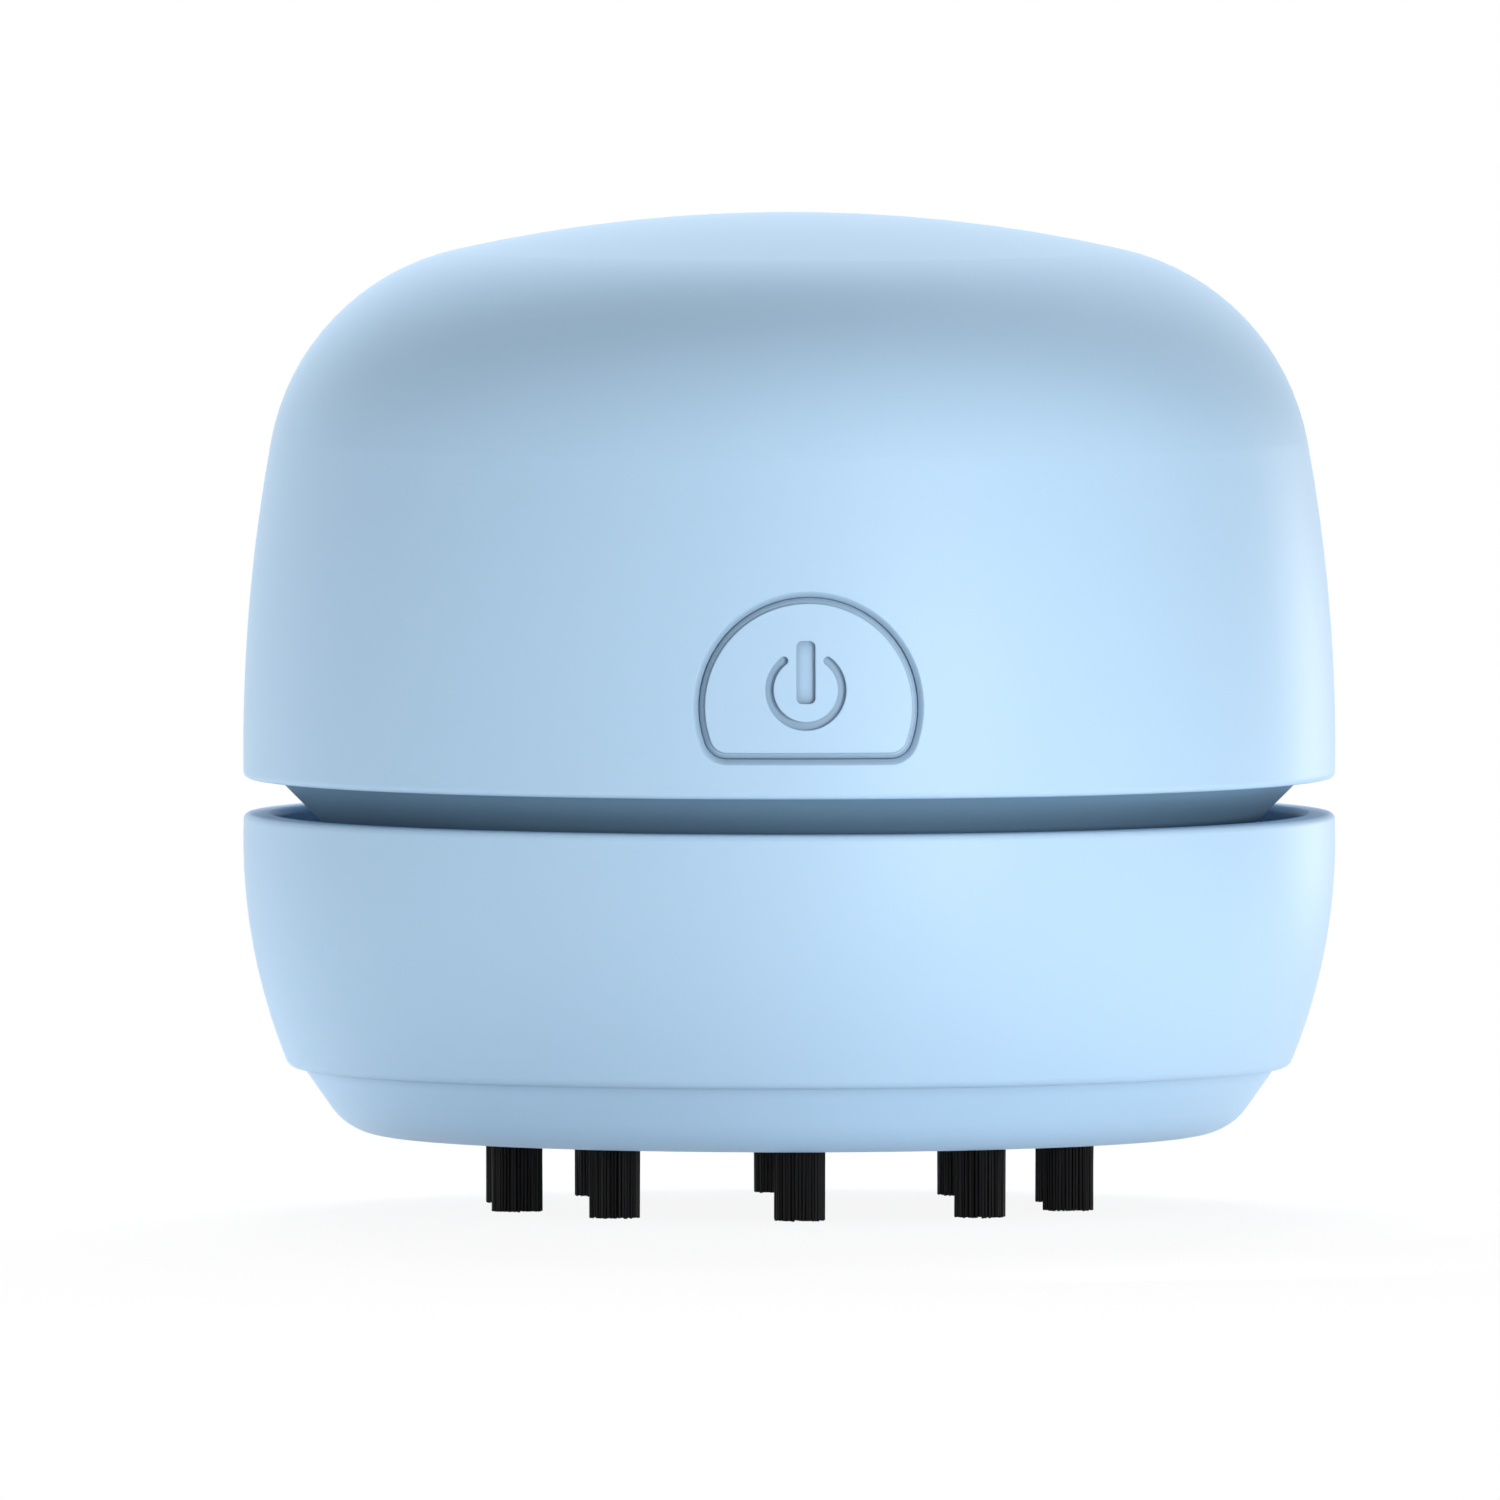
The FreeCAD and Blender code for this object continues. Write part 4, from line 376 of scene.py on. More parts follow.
drawn_lines, start, end = new_group("drawn_lines", SURFACE_INPUTS, SURFACE_OUTPUTS)
stretch = add_node(drawn_lines, "ShaderNodeMapping", (-600, 100))
stretch.inputs["Scale"].default_value = (1, 1, LINE_STRETCH)
lines = add_node(drawn_lines, "ShaderNodeTexNoise", (-400, 100))
lines.inputs["Detail"].default_value = 4
tarnish = add_node(drawn_lines, "ShaderNodeTexNoise", (-400, -200))
tarnish.inputs["Detail"].default_value = 3
join(drawn_lines, start.outputs["Vector"], stretch.inputs["Vector"])
join(drawn_lines, stretch.outputs["Vector"], lines.inputs["Vector"])
join(drawn_lines, start.outputs["Fine Scale"], lines.inputs["Scale"])
join(drawn_lines, start.outputs["Vector"], tarnish.inputs["Vector"])
join(drawn_lines, start.outputs["Broad Scale"], tarnish.inputs["Scale"])
shade_between(drawn_lines, start, end, value=tarnish.outputs["Fac"],
              gloss_value=lines.outputs["Fac"], height=lines.outputs["Fac"])
print("group:", drawn_lines.name)

# %% Group: the mat of fibres in felt and foam
FIBRE_SHARE = 0.4

fibre_mat, start, end = new_group("fibre_mat", SURFACE_INPUTS, SURFACE_OUTPUTS)
fibres = add_node(fibre_mat, "ShaderNodeTexNoise", (-400, 100),
                  noise_type="RIDGED_MULTIFRACTAL")
fibres.inputs["Detail"].default_value = 5
fibres.inputs["Distortion"].default_value = 1.5
clumps = add_node(fibre_mat, "ShaderNodeTexNoise", (-400, -250))
clumps.inputs["Detail"].default_value = 3
mix = add_node(fibre_mat, "ShaderNodeMath", (0, -50), operation="MULTIPLY_ADD", use_clamp=True)
mix.inputs[1].default_value = FIBRE_SHARE
for noise, scale in ((fibres, "Fine Scale"), (clumps, "Broad Scale")):
    join(fibre_mat, start.outputs["Vector"], noise.inputs["Vector"])
    join(fibre_mat, start.outputs[scale], noise.inputs["Scale"])
join(fibre_mat, fibres.outputs["Fac"], mix.inputs[0])
join(fibre_mat, clumps.outputs["Fac"], mix.inputs[2])
shade_between(fibre_mat, start, end, value=mix.outputs[0],
              gloss_value=clumps.outputs["Fac"], height=mix.outputs[0])
print("group:", fibre_mat.name)

# %% [markdown]
# ### Painted shade in grooves
#
# Little light reaches the bottom of a narrow groove. Large soft lamps would fill
# such a groove with light, and it would vanish, so its shade is painted into the
# colour. Ambient occlusion measures how much of its surroundings a point sees within
# a short reach, and this group scales the colour down where a point sees little. It
# reads only the shape, so the painted shade is the same from every side.

# %% Group: the painted shade that gathers in grooves
CLOSED_IN = 0.65
WIDE_OPEN = 0.98

painted_groove_shade, start, end = new_group("painted_groove_shade", [
    ("Color", "NodeSocketColor", (0.5, 0.5, 0.5, 1)),
    ("Reach", "NodeSocketFloat", 0.001),
    ("Deepest", "NodeSocketFloat", 0.5),
], [("Color", "NodeSocketColor")])
# Painted shade: the colour is scaled down where ambient occlusion finds a groove or crevice.
nearby = add_node(painted_groove_shade, "ShaderNodeAmbientOcclusion", (-500, 0), samples=12)
darker = add_node(painted_groove_shade, "ShaderNodeMapRange", (-200, 0))
darker.inputs["From Min"].default_value = CLOSED_IN
darker.inputs["From Max"].default_value = WIDE_OPEN
painted_shade_tint = add_node(painted_groove_shade, "ShaderNodeVectorMath", (200, 0), operation="SCALE")
join(painted_groove_shade, start.outputs["Reach"], nearby.inputs["Distance"])
join(painted_groove_shade, nearby.outputs["AO"], darker.inputs["Value"])
join(painted_groove_shade, start.outputs["Deepest"], darker.inputs["To Min"])
join(painted_groove_shade, start.outputs["Color"], painted_shade_tint.inputs[0])
join(painted_groove_shade, darker.outputs["Result"], painted_shade_tint.inputs["Scale"])
join(painted_groove_shade, painted_shade_tint.outputs[0], end.inputs["Color"])
print("group:", painted_groove_shade.name)

# %% [markdown]
# ## Finishes
#
# One finish is one material: a Principled shader whose colour, roughness and bump
# come from a surface group. The two tones of each finish lie close together, because
# the eye reads a strong difference as dirt. The bump's distance is the real height
# of the grain: a few micrometres on plastic, a tenth of a millimetre on felt. Fine
# and broad are the counts of the pattern's cells in a metre.

# %% A helper for finishes
MICRON = 1e-6
finishes = {}


def surface_finish(slot, group, colour, spread, fine, broad, smooth, rough, bump, distance,
                   **values):
    """A finish from a surface group, its tones a share apart, its bump a distance high."""
    material, tree, shader = new_finish(slot + "_finish", **values)
    place = add_node(tree, "ShaderNodeTexCoord", (-400, 0))
    surface = add_node(tree, "ShaderNodeGroup", (-100, 0), node_tree=group)
    tone = linear(*colour)
    surface.inputs["Fine Scale"].default_value = fine
    surface.inputs["Broad Scale"].default_value = broad
    for name, scale in (("Dark", 1 - spread), ("Light", 1 + spread)):
        surface.inputs[name].default_value = (*[min(channel * scale, 1) for channel in tone[:3]], 1)
    surface.inputs["Smooth"].default_value = smooth
    surface.inputs["Rough"].default_value = rough
    relief = add_node(tree, "ShaderNodeBump", (250, -250))
    relief.inputs["Strength"].default_value = bump
    relief.inputs["Distance"].default_value = distance
    join(tree, place.outputs["Object"], surface.inputs["Vector"])
    join(tree, surface.outputs["Color"], shader.inputs["Base Color"])
    join(tree, surface.outputs["Roughness"], shader.inputs["Roughness"])
    join(tree, surface.outputs["Height"], relief.inputs["Height"])
    join(tree, relief.outputs["Normal"], shader.inputs["Normal"])
    finishes[slot] = material
    print("finish:", material.name)
    return material, tree, shader, surface


# %% [markdown]
# ### Moulded plastics
#
# The shell, the button, the bowl and the base are one pale sky blue with a satin
# grain that scatters most of the gloss, with painted shade in their grooves. The
# fan frame in the waist is the same plastic, painted a deeper blue as painted shade
# for the shadowed waist. The impeller is a slippery white plastic, and the motor's
# end cap, the switch and the socket's tongue are matt black nylon.
#
# No moulded edge is truly sharp, because the mould is worn and polished. The Bevel
# node turns the normals within a sixth of a millimetre of each edge of the sky blue
# pieces, so that rims and the sunken sign catch light softly.

# %% Plastics
PAINTED_SHADE_REACH = 1.1 * MM
PAINTED_GROOVE_SHADE = 0.66
EDGE_RADIUS = 0.16 * MM
SATIN = 0.3
BLACK_NYLON = dict(colour=(28, 28, 30), spread=0.08, fine=3800, broad=120,
                   smooth=0.42, rough=0.60, bump=0.2, distance=6 * MICRON)

material, tree, shader, surface = surface_finish(
    "shell_blue", moulded_grain, colour=(186, 219, 247), spread=0.012, fine=5200, broad=55,
    smooth=0.40, rough=0.47, bump=0.12, distance=4 * MICRON, Specular_IOR_Level=SATIN)
# Painted shade: ambient occlusion darkens the sky blue in grooves, in the sign and at the gap round
# the button.
painted_shade = add_node(tree, "ShaderNodeGroup", (250, 200), node_tree=painted_groove_shade)
painted_shade.inputs["Reach"].default_value = PAINTED_SHADE_REACH
painted_shade.inputs["Deepest"].default_value = PAINTED_GROOVE_SHADE
moulded_edge = add_node(tree, "ShaderNodeBevel", (0, -500), samples=6)
moulded_edge.inputs["Radius"].default_value = EDGE_RADIUS
relief = next(node for node in tree.nodes if node.bl_idname == "ShaderNodeBump")
join(tree, moulded_edge.outputs["Normal"], relief.inputs["Normal"])
join(tree, surface.outputs["Color"], painted_shade.inputs["Color"])
join(tree, painted_shade.outputs["Color"], shader.inputs["Base Color"])

# Painted shade: the frame is the shell's plastic, its colour made deeper to stand for the shadow in
# the waist.
surface_finish("frame_blue", moulded_grain, colour=(122, 156, 181), spread=0.02, fine=4200,
               broad=55, smooth=0.44, rough=0.54, bump=0.15, distance=5 * MICRON,
               Specular_IOR_Level=SATIN)
surface_finish("impeller_white", moulded_grain, colour=(232, 232, 228), spread=0.015, fine=4200,
               broad=80, smooth=0.38, rough=0.50, bump=0.1, distance=4 * MICRON)
surface_finish("black_plastic", moulded_grain, **BLACK_NYLON)
surface_finish("board_green", moulded_grain, colour=(20, 92, 54), spread=0.10, fine=900,
               broad=260, smooth=0.28, rough=0.40, bump=0.1, distance=6 * MICRON)

# %% [markdown]
# ### Metals
#
# The screws are zinc-plated, the motor's can is drawn steel and its terminals are
# stamped brass. On real metal the gloss, not the colour, tells how it was worked, so
# the lines drive the roughness and only a faint tarnish drives the tone. The battery
# cell's pouch is a foil under clear film, crumpled here and there.

# %% Metals
surface_finish("screw_steel", drawn_lines, colour=(180, 180, 184), spread=0.08, fine=2600,
               broad=400, smooth=0.24, rough=0.44, bump=0.15, distance=3 * MICRON, Metallic=1.0)
surface_finish("motor_steel", drawn_lines, colour=(196, 196, 202), spread=0.05, fine=2200,
               broad=120, smooth=0.20, rough=0.38, bump=0.15, distance=3 * MICRON, Metallic=1.0)
surface_finish("terminal_brass", drawn_lines, colour=(214, 186, 120), spread=0.08, fine=2600,
               broad=300, smooth=0.22, rough=0.40, bump=0.15, distance=3 * MICRON, Metallic=1.0)
surface_finish("cell_foil", moulded_grain, colour=(190, 192, 198), spread=0.04, fine=700,
               broad=90, smooth=0.22, rough=0.42, bump=0.5, distance=60 * MICRON, Metallic=0.85)

# %% [markdown]
# ### Felt, foam and rubber
#
# The filter is a white needle felt, so it gets sheen, the soft brightening of fibres
# that stand up at a cloth's edge. The foam under the battery is dark and open. The
# seal and the leads' insulation are soft rubber with a faint bloom.

# %% Soft finishes
surface_finish("filter_felt", fibre_mat, colour=(240, 240, 236), spread=0.07, fine=1500,
               broad=500, smooth=0.88, rough=0.98, bump=0.8, distance=120 * MICRON,
               Sheen_Weight=0.35, Sheen_Roughness=0.5)
surface_finish("foam_pad", fibre_mat, colour=(60, 60, 62), spread=0.25, fine=1900,
               broad=800, smooth=0.85, rough=0.95, bump=0.8, distance=150 * MICRON)
surface_finish("seal_rubber", moulded_grain, colour=(46, 46, 49), spread=0.06, fine=3000,
               broad=140, smooth=0.50, rough=0.66, bump=0.15, distance=6 * MICRON)
surface_finish("lead_red", moulded_grain, colour=(172, 28, 26), spread=0.05, fine=3000,
               broad=140, smooth=0.38, rough=0.52, bump=0.1, distance=5 * MICRON)

# %% [markdown]
# ### The light pipe
#
# A clear rod carries the charge light from the board to the shell. It is frosted, so
# it lets light through but shows no picture. Its Transmission Weight is a plain
# value, and only the roughness varies.

# %% Light pipe
surface_finish("light_pipe", moulded_grain, colour=(240, 241, 244), spread=0.01, fine=3000,
               broad=200, smooth=0.25, rough=0.40, bump=0.1, distance=4 * MICRON,
               Transmission_Weight=0.7, IOR=1.49)

# %% [markdown]
# ### Black bristles
#
# Every filament of a tuft takes the light a little differently, which is what makes
# a brush look like a brush. Geometry's Random Per Island gives each loose filament
# its own number, and that number picks its tone between two blacks.

# %% Bristle finish
material, tree, shader = new_finish("bristle_black_finish", Specular_IOR_Level=0.12)
island = add_node(tree, "ShaderNodeNewGeometry", (-400, 0))
tone = add_node(tree, "ShaderNodeMix", (100, 100), data_type="RGBA")
tone.inputs["A"].default_value = linear(6, 6, 7)
tone.inputs["B"].default_value = linear(30, 30, 31)
gloss = add_node(tree, "ShaderNodeMapRange", (100, -150))
gloss.inputs["To Min"].default_value = 0.45
gloss.inputs["To Max"].default_value = 0.7
join(tree, island.outputs["Random Per Island"], tone.inputs["Factor"])
join(tree, island.outputs["Random Per Island"], gloss.inputs["Value"])
join(tree, tone.outputs["Result"], shader.inputs["Base Color"])
join(tree, gloss.outputs["Result"], shader.inputs["Roughness"])
finishes["bristle_black"] = material
print("finish:", material.name)

# %% [markdown]
# ### Every measured node gets its finish
#
# The record says which finish each node takes. A node whose shape is right keeps its
# own mesh and only changes its material.

# %% Finishes on the measured nodes
for part in frame["record"]["subparts"]:
    for slot in frame["nodes"][part["node"]].material_slots:
        slot.material = finishes[part["material_slot"]]

# %% [markdown]
# ### Gold contacts on the socket's tongue
#
# A USB-C tongue carries a row of twelve gold contacts on each flat side. They are
# far thinner than the tongue, so they are drawn by the material: a repeating ramp
# along X makes the stripes, and the tongue's own flat sides, where the normal points
# up or down, take the gold.

# %% Tongue finish
CONTACT_PITCH = 0.5 * MM
FACES_UP_OR_DOWN = 0.9

material, tree, shader, surface = surface_finish("tongue", moulded_grain, **BLACK_NYLON)
place = add_node(tree, "ShaderNodeTexCoord", (-900, 500))
split = add_node(tree, "ShaderNodeSeparateXYZ", (-700, 500))
pitch = add_node(tree, "ShaderNodeMath", (-500, 600), operation="PINGPONG")
pitch.inputs[1].default_value = CONTACT_PITCH / 2
stripe = add_node(tree, "ShaderNodeMath", (-300, 600), operation="LESS_THAN")
stripe.inputs[1].default_value = CONTACT_PITCH / 4
facing = add_node(tree, "ShaderNodeNewGeometry", (-900, 250))
split_normal = add_node(tree, "ShaderNodeSeparateXYZ", (-700, 250))
steep = add_node(tree, "ShaderNodeMath", (-500, 250), operation="ABSOLUTE")
flat_side = add_node(tree, "ShaderNodeMath", (-300, 250), operation="GREATER_THAN")
flat_side.inputs[1].default_value = FACES_UP_OR_DOWN
contact = add_node(tree, "ShaderNodeMath", (-100, 450), operation="MULTIPLY")
gold = add_node(tree, "ShaderNodeMix", (250, 300), data_type="RGBA")
gold.inputs["B"].default_value = linear(226, 190, 110)
join(tree, place.outputs["Object"], split.inputs[0])
join(tree, split.outputs["X"], pitch.inputs[0])
join(tree, pitch.outputs[0], stripe.inputs[0])
join(tree, facing.outputs["True Normal"], split_normal.inputs[0])
join(tree, split_normal.outputs["Z"], steep.inputs[0])
join(tree, steep.outputs[0], flat_side.inputs[0])
join(tree, stripe.outputs[0], contact.inputs[0])
join(tree, flat_side.outputs[0], contact.inputs[1])
join(tree, contact.outputs[0], gold.inputs["Factor"])
join(tree, surface.outputs["Color"], gold.inputs["A"])
join(tree, gold.outputs["Result"], shader.inputs["Base Color"])
join(tree, contact.outputs[0], shader.inputs["Metallic"])
for slot in frame["nodes"]["usb_tongue"].material_slots:
    slot.material = material
print("contacts every", CONTACT_PITCH / MM, "mm")

# %% [markdown]
# ## Helpers for modelling
#
# New pieces start from a primitive and are shaped in edit mode, as by hand. An
# operator acts on whatever is selected, so each step first selects exactly what it
# needs: faces and edges by where they are or which way they point. A finished piece
# stands at the origin, unturned, with its place in its mesh.

# %% Helpers that start a piece
HAIR = 0.001 * MM
ALONG = 0.99


def start_piece(name):
    """Name the newly added object and press its place, turn and size into its mesh."""
    piece = bpy.context.object
    piece.name = name
    piece.data.name = name
    bpy.ops.object.transform_apply(location=True, rotation=True, scale=True)
    return piece


def start_block(name, centre, size, turn=0):
    """A cube drawn out to a size, turned about its own height."""
    bpy.ops.object.select_all(action="DESELECT")
    bpy.ops.mesh.primitive_cube_add(size=1, location=centre, rotation=(0, 0, turn))
    bpy.context.object.scale = size
    return start_piece(name)


def start_rod(name, centre, radius, depth, sides, turn=(0, 0, 0)):
    """A rod that stands upright unless it is turned."""
    bpy.ops.object.select_all(action="DESELECT")
    bpy.ops.mesh.primitive_cylinder_add(vertices=sides, radius=radius, depth=depth,
                                        location=centre, rotation=turn)
    return start_piece(name)


def copy_mesh(source, name):
    """An object with its own copy of another's mesh, at the origin."""
    piece = bpy.data.objects.new(name, source.data.copy())
    piece.data.name = name
    bpy.context.scene.collection.objects.link(piece)
    return piece


# %% Helpers that open and close a piece
def only(piece):
    """Select one piece and make it the active one."""
    bpy.ops.object.select_all(action="DESELECT")
    piece.select_set(True)
    bpy.context.view_layer.objects.active = piece


def select_nothing_in(piece):
    """Make a piece active, with nothing selected in its mesh."""
    only(piece)
    for group in (piece.data.vertices, piece.data.edges, piece.data.polygons):
        group.foreach_set("select", [False] * len(group))


def edit_edges(piece, wanted):
    """Open a piece with the edges selected for which wanted(middle, direction) holds."""
    select_nothing_in(piece)
    for edge in piece.data.edges:
        start, end = (piece.data.vertices[number].co for number in edge.vertices)
        edge.select = bool(wanted((start + end) / 2, (end - start).normalized()))
    bpy.context.tool_settings.mesh_select_mode = (False, True, False)
    bpy.ops.object.mode_set(mode="EDIT")


def edit_faces(piece, wanted):
    """Open a piece with the faces selected for which wanted(centre, normal) holds."""
    select_nothing_in(piece)
    for face in piece.data.polygons:
        face.select = bool(wanted(face.center, face.normal))
    bpy.context.tool_settings.mesh_select_mode = (False, False, True)
    bpy.ops.object.mode_set(mode="EDIT")


def edit_all(piece):
    """Open a piece with everything selected."""
    only(piece)
    bpy.ops.object.mode_set(mode="EDIT")
    bpy.ops.mesh.select_all(action="SELECT")


def leave_edit():
    bpy.ops.object.mode_set(mode="OBJECT")


def move_back(piece, distance):
    """Move a piece's whole mesh back, away from the front."""
    edit_all(piece)
    bpy.ops.transform.translate(value=(0, distance, 0))
    leave_edit()
    return piece


def close_piece(piece, angle=30):
    """Leave edit mode and shade smooth, but keep every edge sharper than the angle."""
    leave_edit()
    only(piece)
    bpy.ops.object.shade_smooth_by_angle(angle=math.radians(angle))


# %% Helpers that cut and finish a piece
def trim(piece, operation, tool):
    """Cut a piece by a tool, add the tool or keep what they share, and remove the tool."""
    modifier = piece.modifiers.new("trim", "BOOLEAN")
    modifier.operation = operation
    modifier.solver = "EXACT"
    modifier.object = tool
    only(piece)
    bpy.ops.object.modifier_apply(modifier=modifier.name)
    bpy.data.meshes.remove(tool.data)


def dress(piece, slot, body, *nodes):
    """Give a piece its finish and body, and let it stand for measured nodes."""
    piece.data.materials.clear()
    piece.data.materials.append(finishes[slot])
    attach(piece, body)
    if nodes:
        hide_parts(*nodes)
    print(piece.name, "has", len(piece.data.polygons), "faces")


# %% [markdown]
# ## The power button
#
# The cap is cut from the same dome as the shell, so its face is already right. What
# it lacks is the sign for power, moulded under half a millimetre deep: a bar in a
# ring that is open at its top, with round ends. A moulder sinks such a sign with a
# raised stamp in the mould, and the same idea works here. The stamp is a ring and a
# bar that stand out of the cap's face. The cap itself, moved back by the sign's
# depth, first trims the stamp, so that the floor of the sign follows the curved
# face. Then the stamp is cut from the cap.

# %% The sign's ring
SIGN_LEVEL = 39.46 * MM
SIGN_SIDE = -0.22 * MM
SIGN_DEPTH = 0.42 * MM
RING_OUTSIDE = 2.94 * MM
RING_STROKE = 0.6 * MM
RING_MIDDLE = RING_OUTSIDE - RING_STROKE / 2
RING_END_ANGLE = math.radians(36.8)
RING_SIDES = 96
STAMP_MIDDLE = -40 * MM
STAMP_DEPTH = 4 * MM
WEDGE_TIP = 0.001
ALONG_TRAVEL = (math.pi / 2, 0, 0)


def stamp_rod(name, radius, depth, side=0, rise=0):
    """A rod along the button's travel, a side step and a rise from the ring's centre."""
    centre = (SIGN_SIDE + side, STAMP_MIDDLE, SIGN_LEVEL + rise)
    return start_rod(name, centre, radius, depth, RING_SIDES, ALONG_TRAVEL)


def stamp_block(name, width, foot, top, depth):
    """A block along the button's travel, between two levels."""
    centre = (SIGN_SIDE, STAMP_MIDDLE, (foot + top) / 2)
    return start_block(name, centre, (width, depth, top - foot))


stamp = stamp_rod("sign_stamp", RING_OUTSIDE, STAMP_DEPTH)
trim(stamp, "DIFFERENCE", stamp_rod("ring_bore", RING_OUTSIDE - RING_STROKE, 2 * STAMP_DEPTH))

wedge_height = 2 * RING_OUTSIDE
wedge = stamp_block("ring_opening", 2 * wedge_height * math.tan(RING_END_ANGLE),
                    SIGN_LEVEL, SIGN_LEVEL + wedge_height, 2 * STAMP_DEPTH)
edit_faces(wedge, lambda centre, normal: normal.z < -ALONG)
bpy.ops.transform.resize(value=(WEDGE_TIP, 1, 1))
leave_edit()
trim(stamp, "DIFFERENCE", wedge)

for side in (-1, 1):
    end_side = side * RING_MIDDLE * math.sin(RING_END_ANGLE)
    end_rise = RING_MIDDLE * math.cos(RING_END_ANGLE)
    trim(stamp, "UNION", stamp_rod("ring_end", RING_STROKE / 2, STAMP_DEPTH, end_side, end_rise))
print("ring has", len(stamp.data.polygons), "faces")

# %% The sign's bar
BAR_WIDTH = 1.385 * MM
BAR_FOOT = 38.46 * MM
BAR_TOP = 42.99 * MM
BAR_CORNER = 0.42 * MM

bar = stamp_block("sign_bar", BAR_WIDTH, BAR_FOOT, BAR_TOP, STAMP_DEPTH)
edit_edges(bar, lambda middle, way: abs(way.y) > ALONG)
bpy.ops.mesh.bevel(offset=BAR_CORNER, segments=6)
leave_edit()
trim(stamp, "UNION", bar)
print("stamp has", len(stamp.data.polygons), "faces")

# %% [markdown]
# ### The sunken rim
#
# Where a button sits flush in a dome, its rim is set back a little, so that a small
# difference in height can't be felt or seen. The groove that one sees is therefore
# wide: the bevel of the shell's window, the hairline gap and the set-back rim. A
# second stamp sinks the rim. It covers the whole cap, but the cap moved back by the
# rim's depth and a D-shaped core are taken out of it first, so that only the rim
# between the two is cut. The cap is grown a hair, which narrows the gap to what
# good moulds leave.

# %% The cap's outline
CAP_RADIUS = 7.94 * MM
CAP_RISE = 6.7 * MM
CAP_FLAT = 3.74 * MM
CAP_CORNER = 1.64 * MM
CAP_SIDES = 128
FULL_ROUND = 0.999

cap_low, cap_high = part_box("power_button")
cap_size = cap_high - cap_low
cap_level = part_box("upper_shell")[0].z + CAP_RISE


def cap_block(name, width, foot, top, depth):
    """A block across the cap's middle, between two levels."""
    return start_block(name, (0, cap_low.y, (foot + top) / 2), (width, depth, top - foot))


def cap_outline(name, inset, depth):
    """The cap's D-shaped outline, made smaller by an inset, as a block along its travel."""
    radius, flat, corner = (size - inset for size in (CAP_RADIUS, CAP_FLAT, CAP_CORNER))
    corner_side = math.sqrt((radius - corner) ** 2 - (flat - corner) ** 2)
    arc_end = cap_level - (flat - corner) * radius / (radius - corner)
    outline = start_rod(name, (0, cap_low.y, cap_level), radius, depth, CAP_SIDES, ALONG_TRAVEL)
    below = cap_block("below_the_arc", 3 * radius, arc_end - radius, arc_end, 2 * depth)
    trim(outline, "DIFFERENCE", below)
    foot = cap_block("rounded_foot", 2 * (corner_side + corner), cap_level - flat,
                     cap_level - flat + 2 * corner, depth)
    edit_edges(foot, lambda middle, way: abs(way.y) > ALONG)
    bpy.ops.mesh.bevel(offset=FULL_ROUND * corner, segments=10)
    leave_edit()
    trim(outline, "UNION", foot)
    return outline


print("cap's centre is", round(cap_level / MM, 2), "mm above the table")

# %% The cap, grown, and the stamp for its rim
CAP_GROWTH = 0.1 * MM
RIM_WIDTH = 0.42 * MM
RIM_DEPTH = 0.28 * MM
RIM_REACH = 5 * MM

cap = copy_mesh(frame["nodes"]["power_button"], "button_cap")
edit_all(cap)
bpy.ops.mesh.remove_doubles(threshold=HAIR)
bpy.ops.mesh.customdata_custom_splitnormals_clear()
growth = (1 + 2 * CAP_GROWTH / cap_size.x, 1, 1 + 2 * CAP_GROWTH / cap_size.z)
bpy.ops.transform.resize(value=growth, center_override=(cap_low + cap_high) / 2)
leave_edit()

lowered_cap = move_back(copy_mesh(cap, "lowered_cap"), RIM_DEPTH)
rim_stamp = cap_outline("rim_stamp", -RIM_WIDTH, 2 * RIM_REACH)
trim(rim_stamp, "DIFFERENCE", lowered_cap)
trim(rim_stamp, "DIFFERENCE", cap_outline("cap_core", RIM_WIDTH, 4 * RIM_REACH))
print("rim stamp has", len(rim_stamp.data.polygons), "faces")

# %% The cap with its rim and sign
trim(stamp, "DIFFERENCE", move_back(copy_mesh(cap, "sunken_cap"), SIGN_DEPTH))
trim(cap, "DIFFERENCE", stamp)
trim(cap, "DIFFERENCE", rim_stamp)
close_piece(cap, angle=25)
dress(cap, "shell_blue", "button", "power_button")

# %% [markdown]
# ## Bristle tufts
#
# A tuft is a bundle of nearly two hundred nylon filaments, folded over a staple and
# pressed into its socket. One tuft is modelled and then copied: thin six-sided rods
# set in rings, each leaning by less than a degree and ending at its own height,
# round a dark core that keeps light from passing between them. Each copy is turned
# by its own angle, so no two tufts look alike.

# %% One tuft
tuft_low, tuft_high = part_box("bristle_tuft_01")
TUFT_RADIUS = (tuft_high.x - tuft_low.x) / 2
FILAMENT_RADIUS = 0.125 * MM
FILAMENT_PITCH = 0.25 * MM
FILAMENT_TOP = 6.5 * MM
FILAMENT_TAPER = 0.8
TIP_SPREAD = 0.15 * MM
RING_SPREAD = 0.15
LEAN = math.radians(0.7)
CORE_FOOT = 0.5 * MM
CORE_INSET = 2.5 * FILAMENT_PITCH

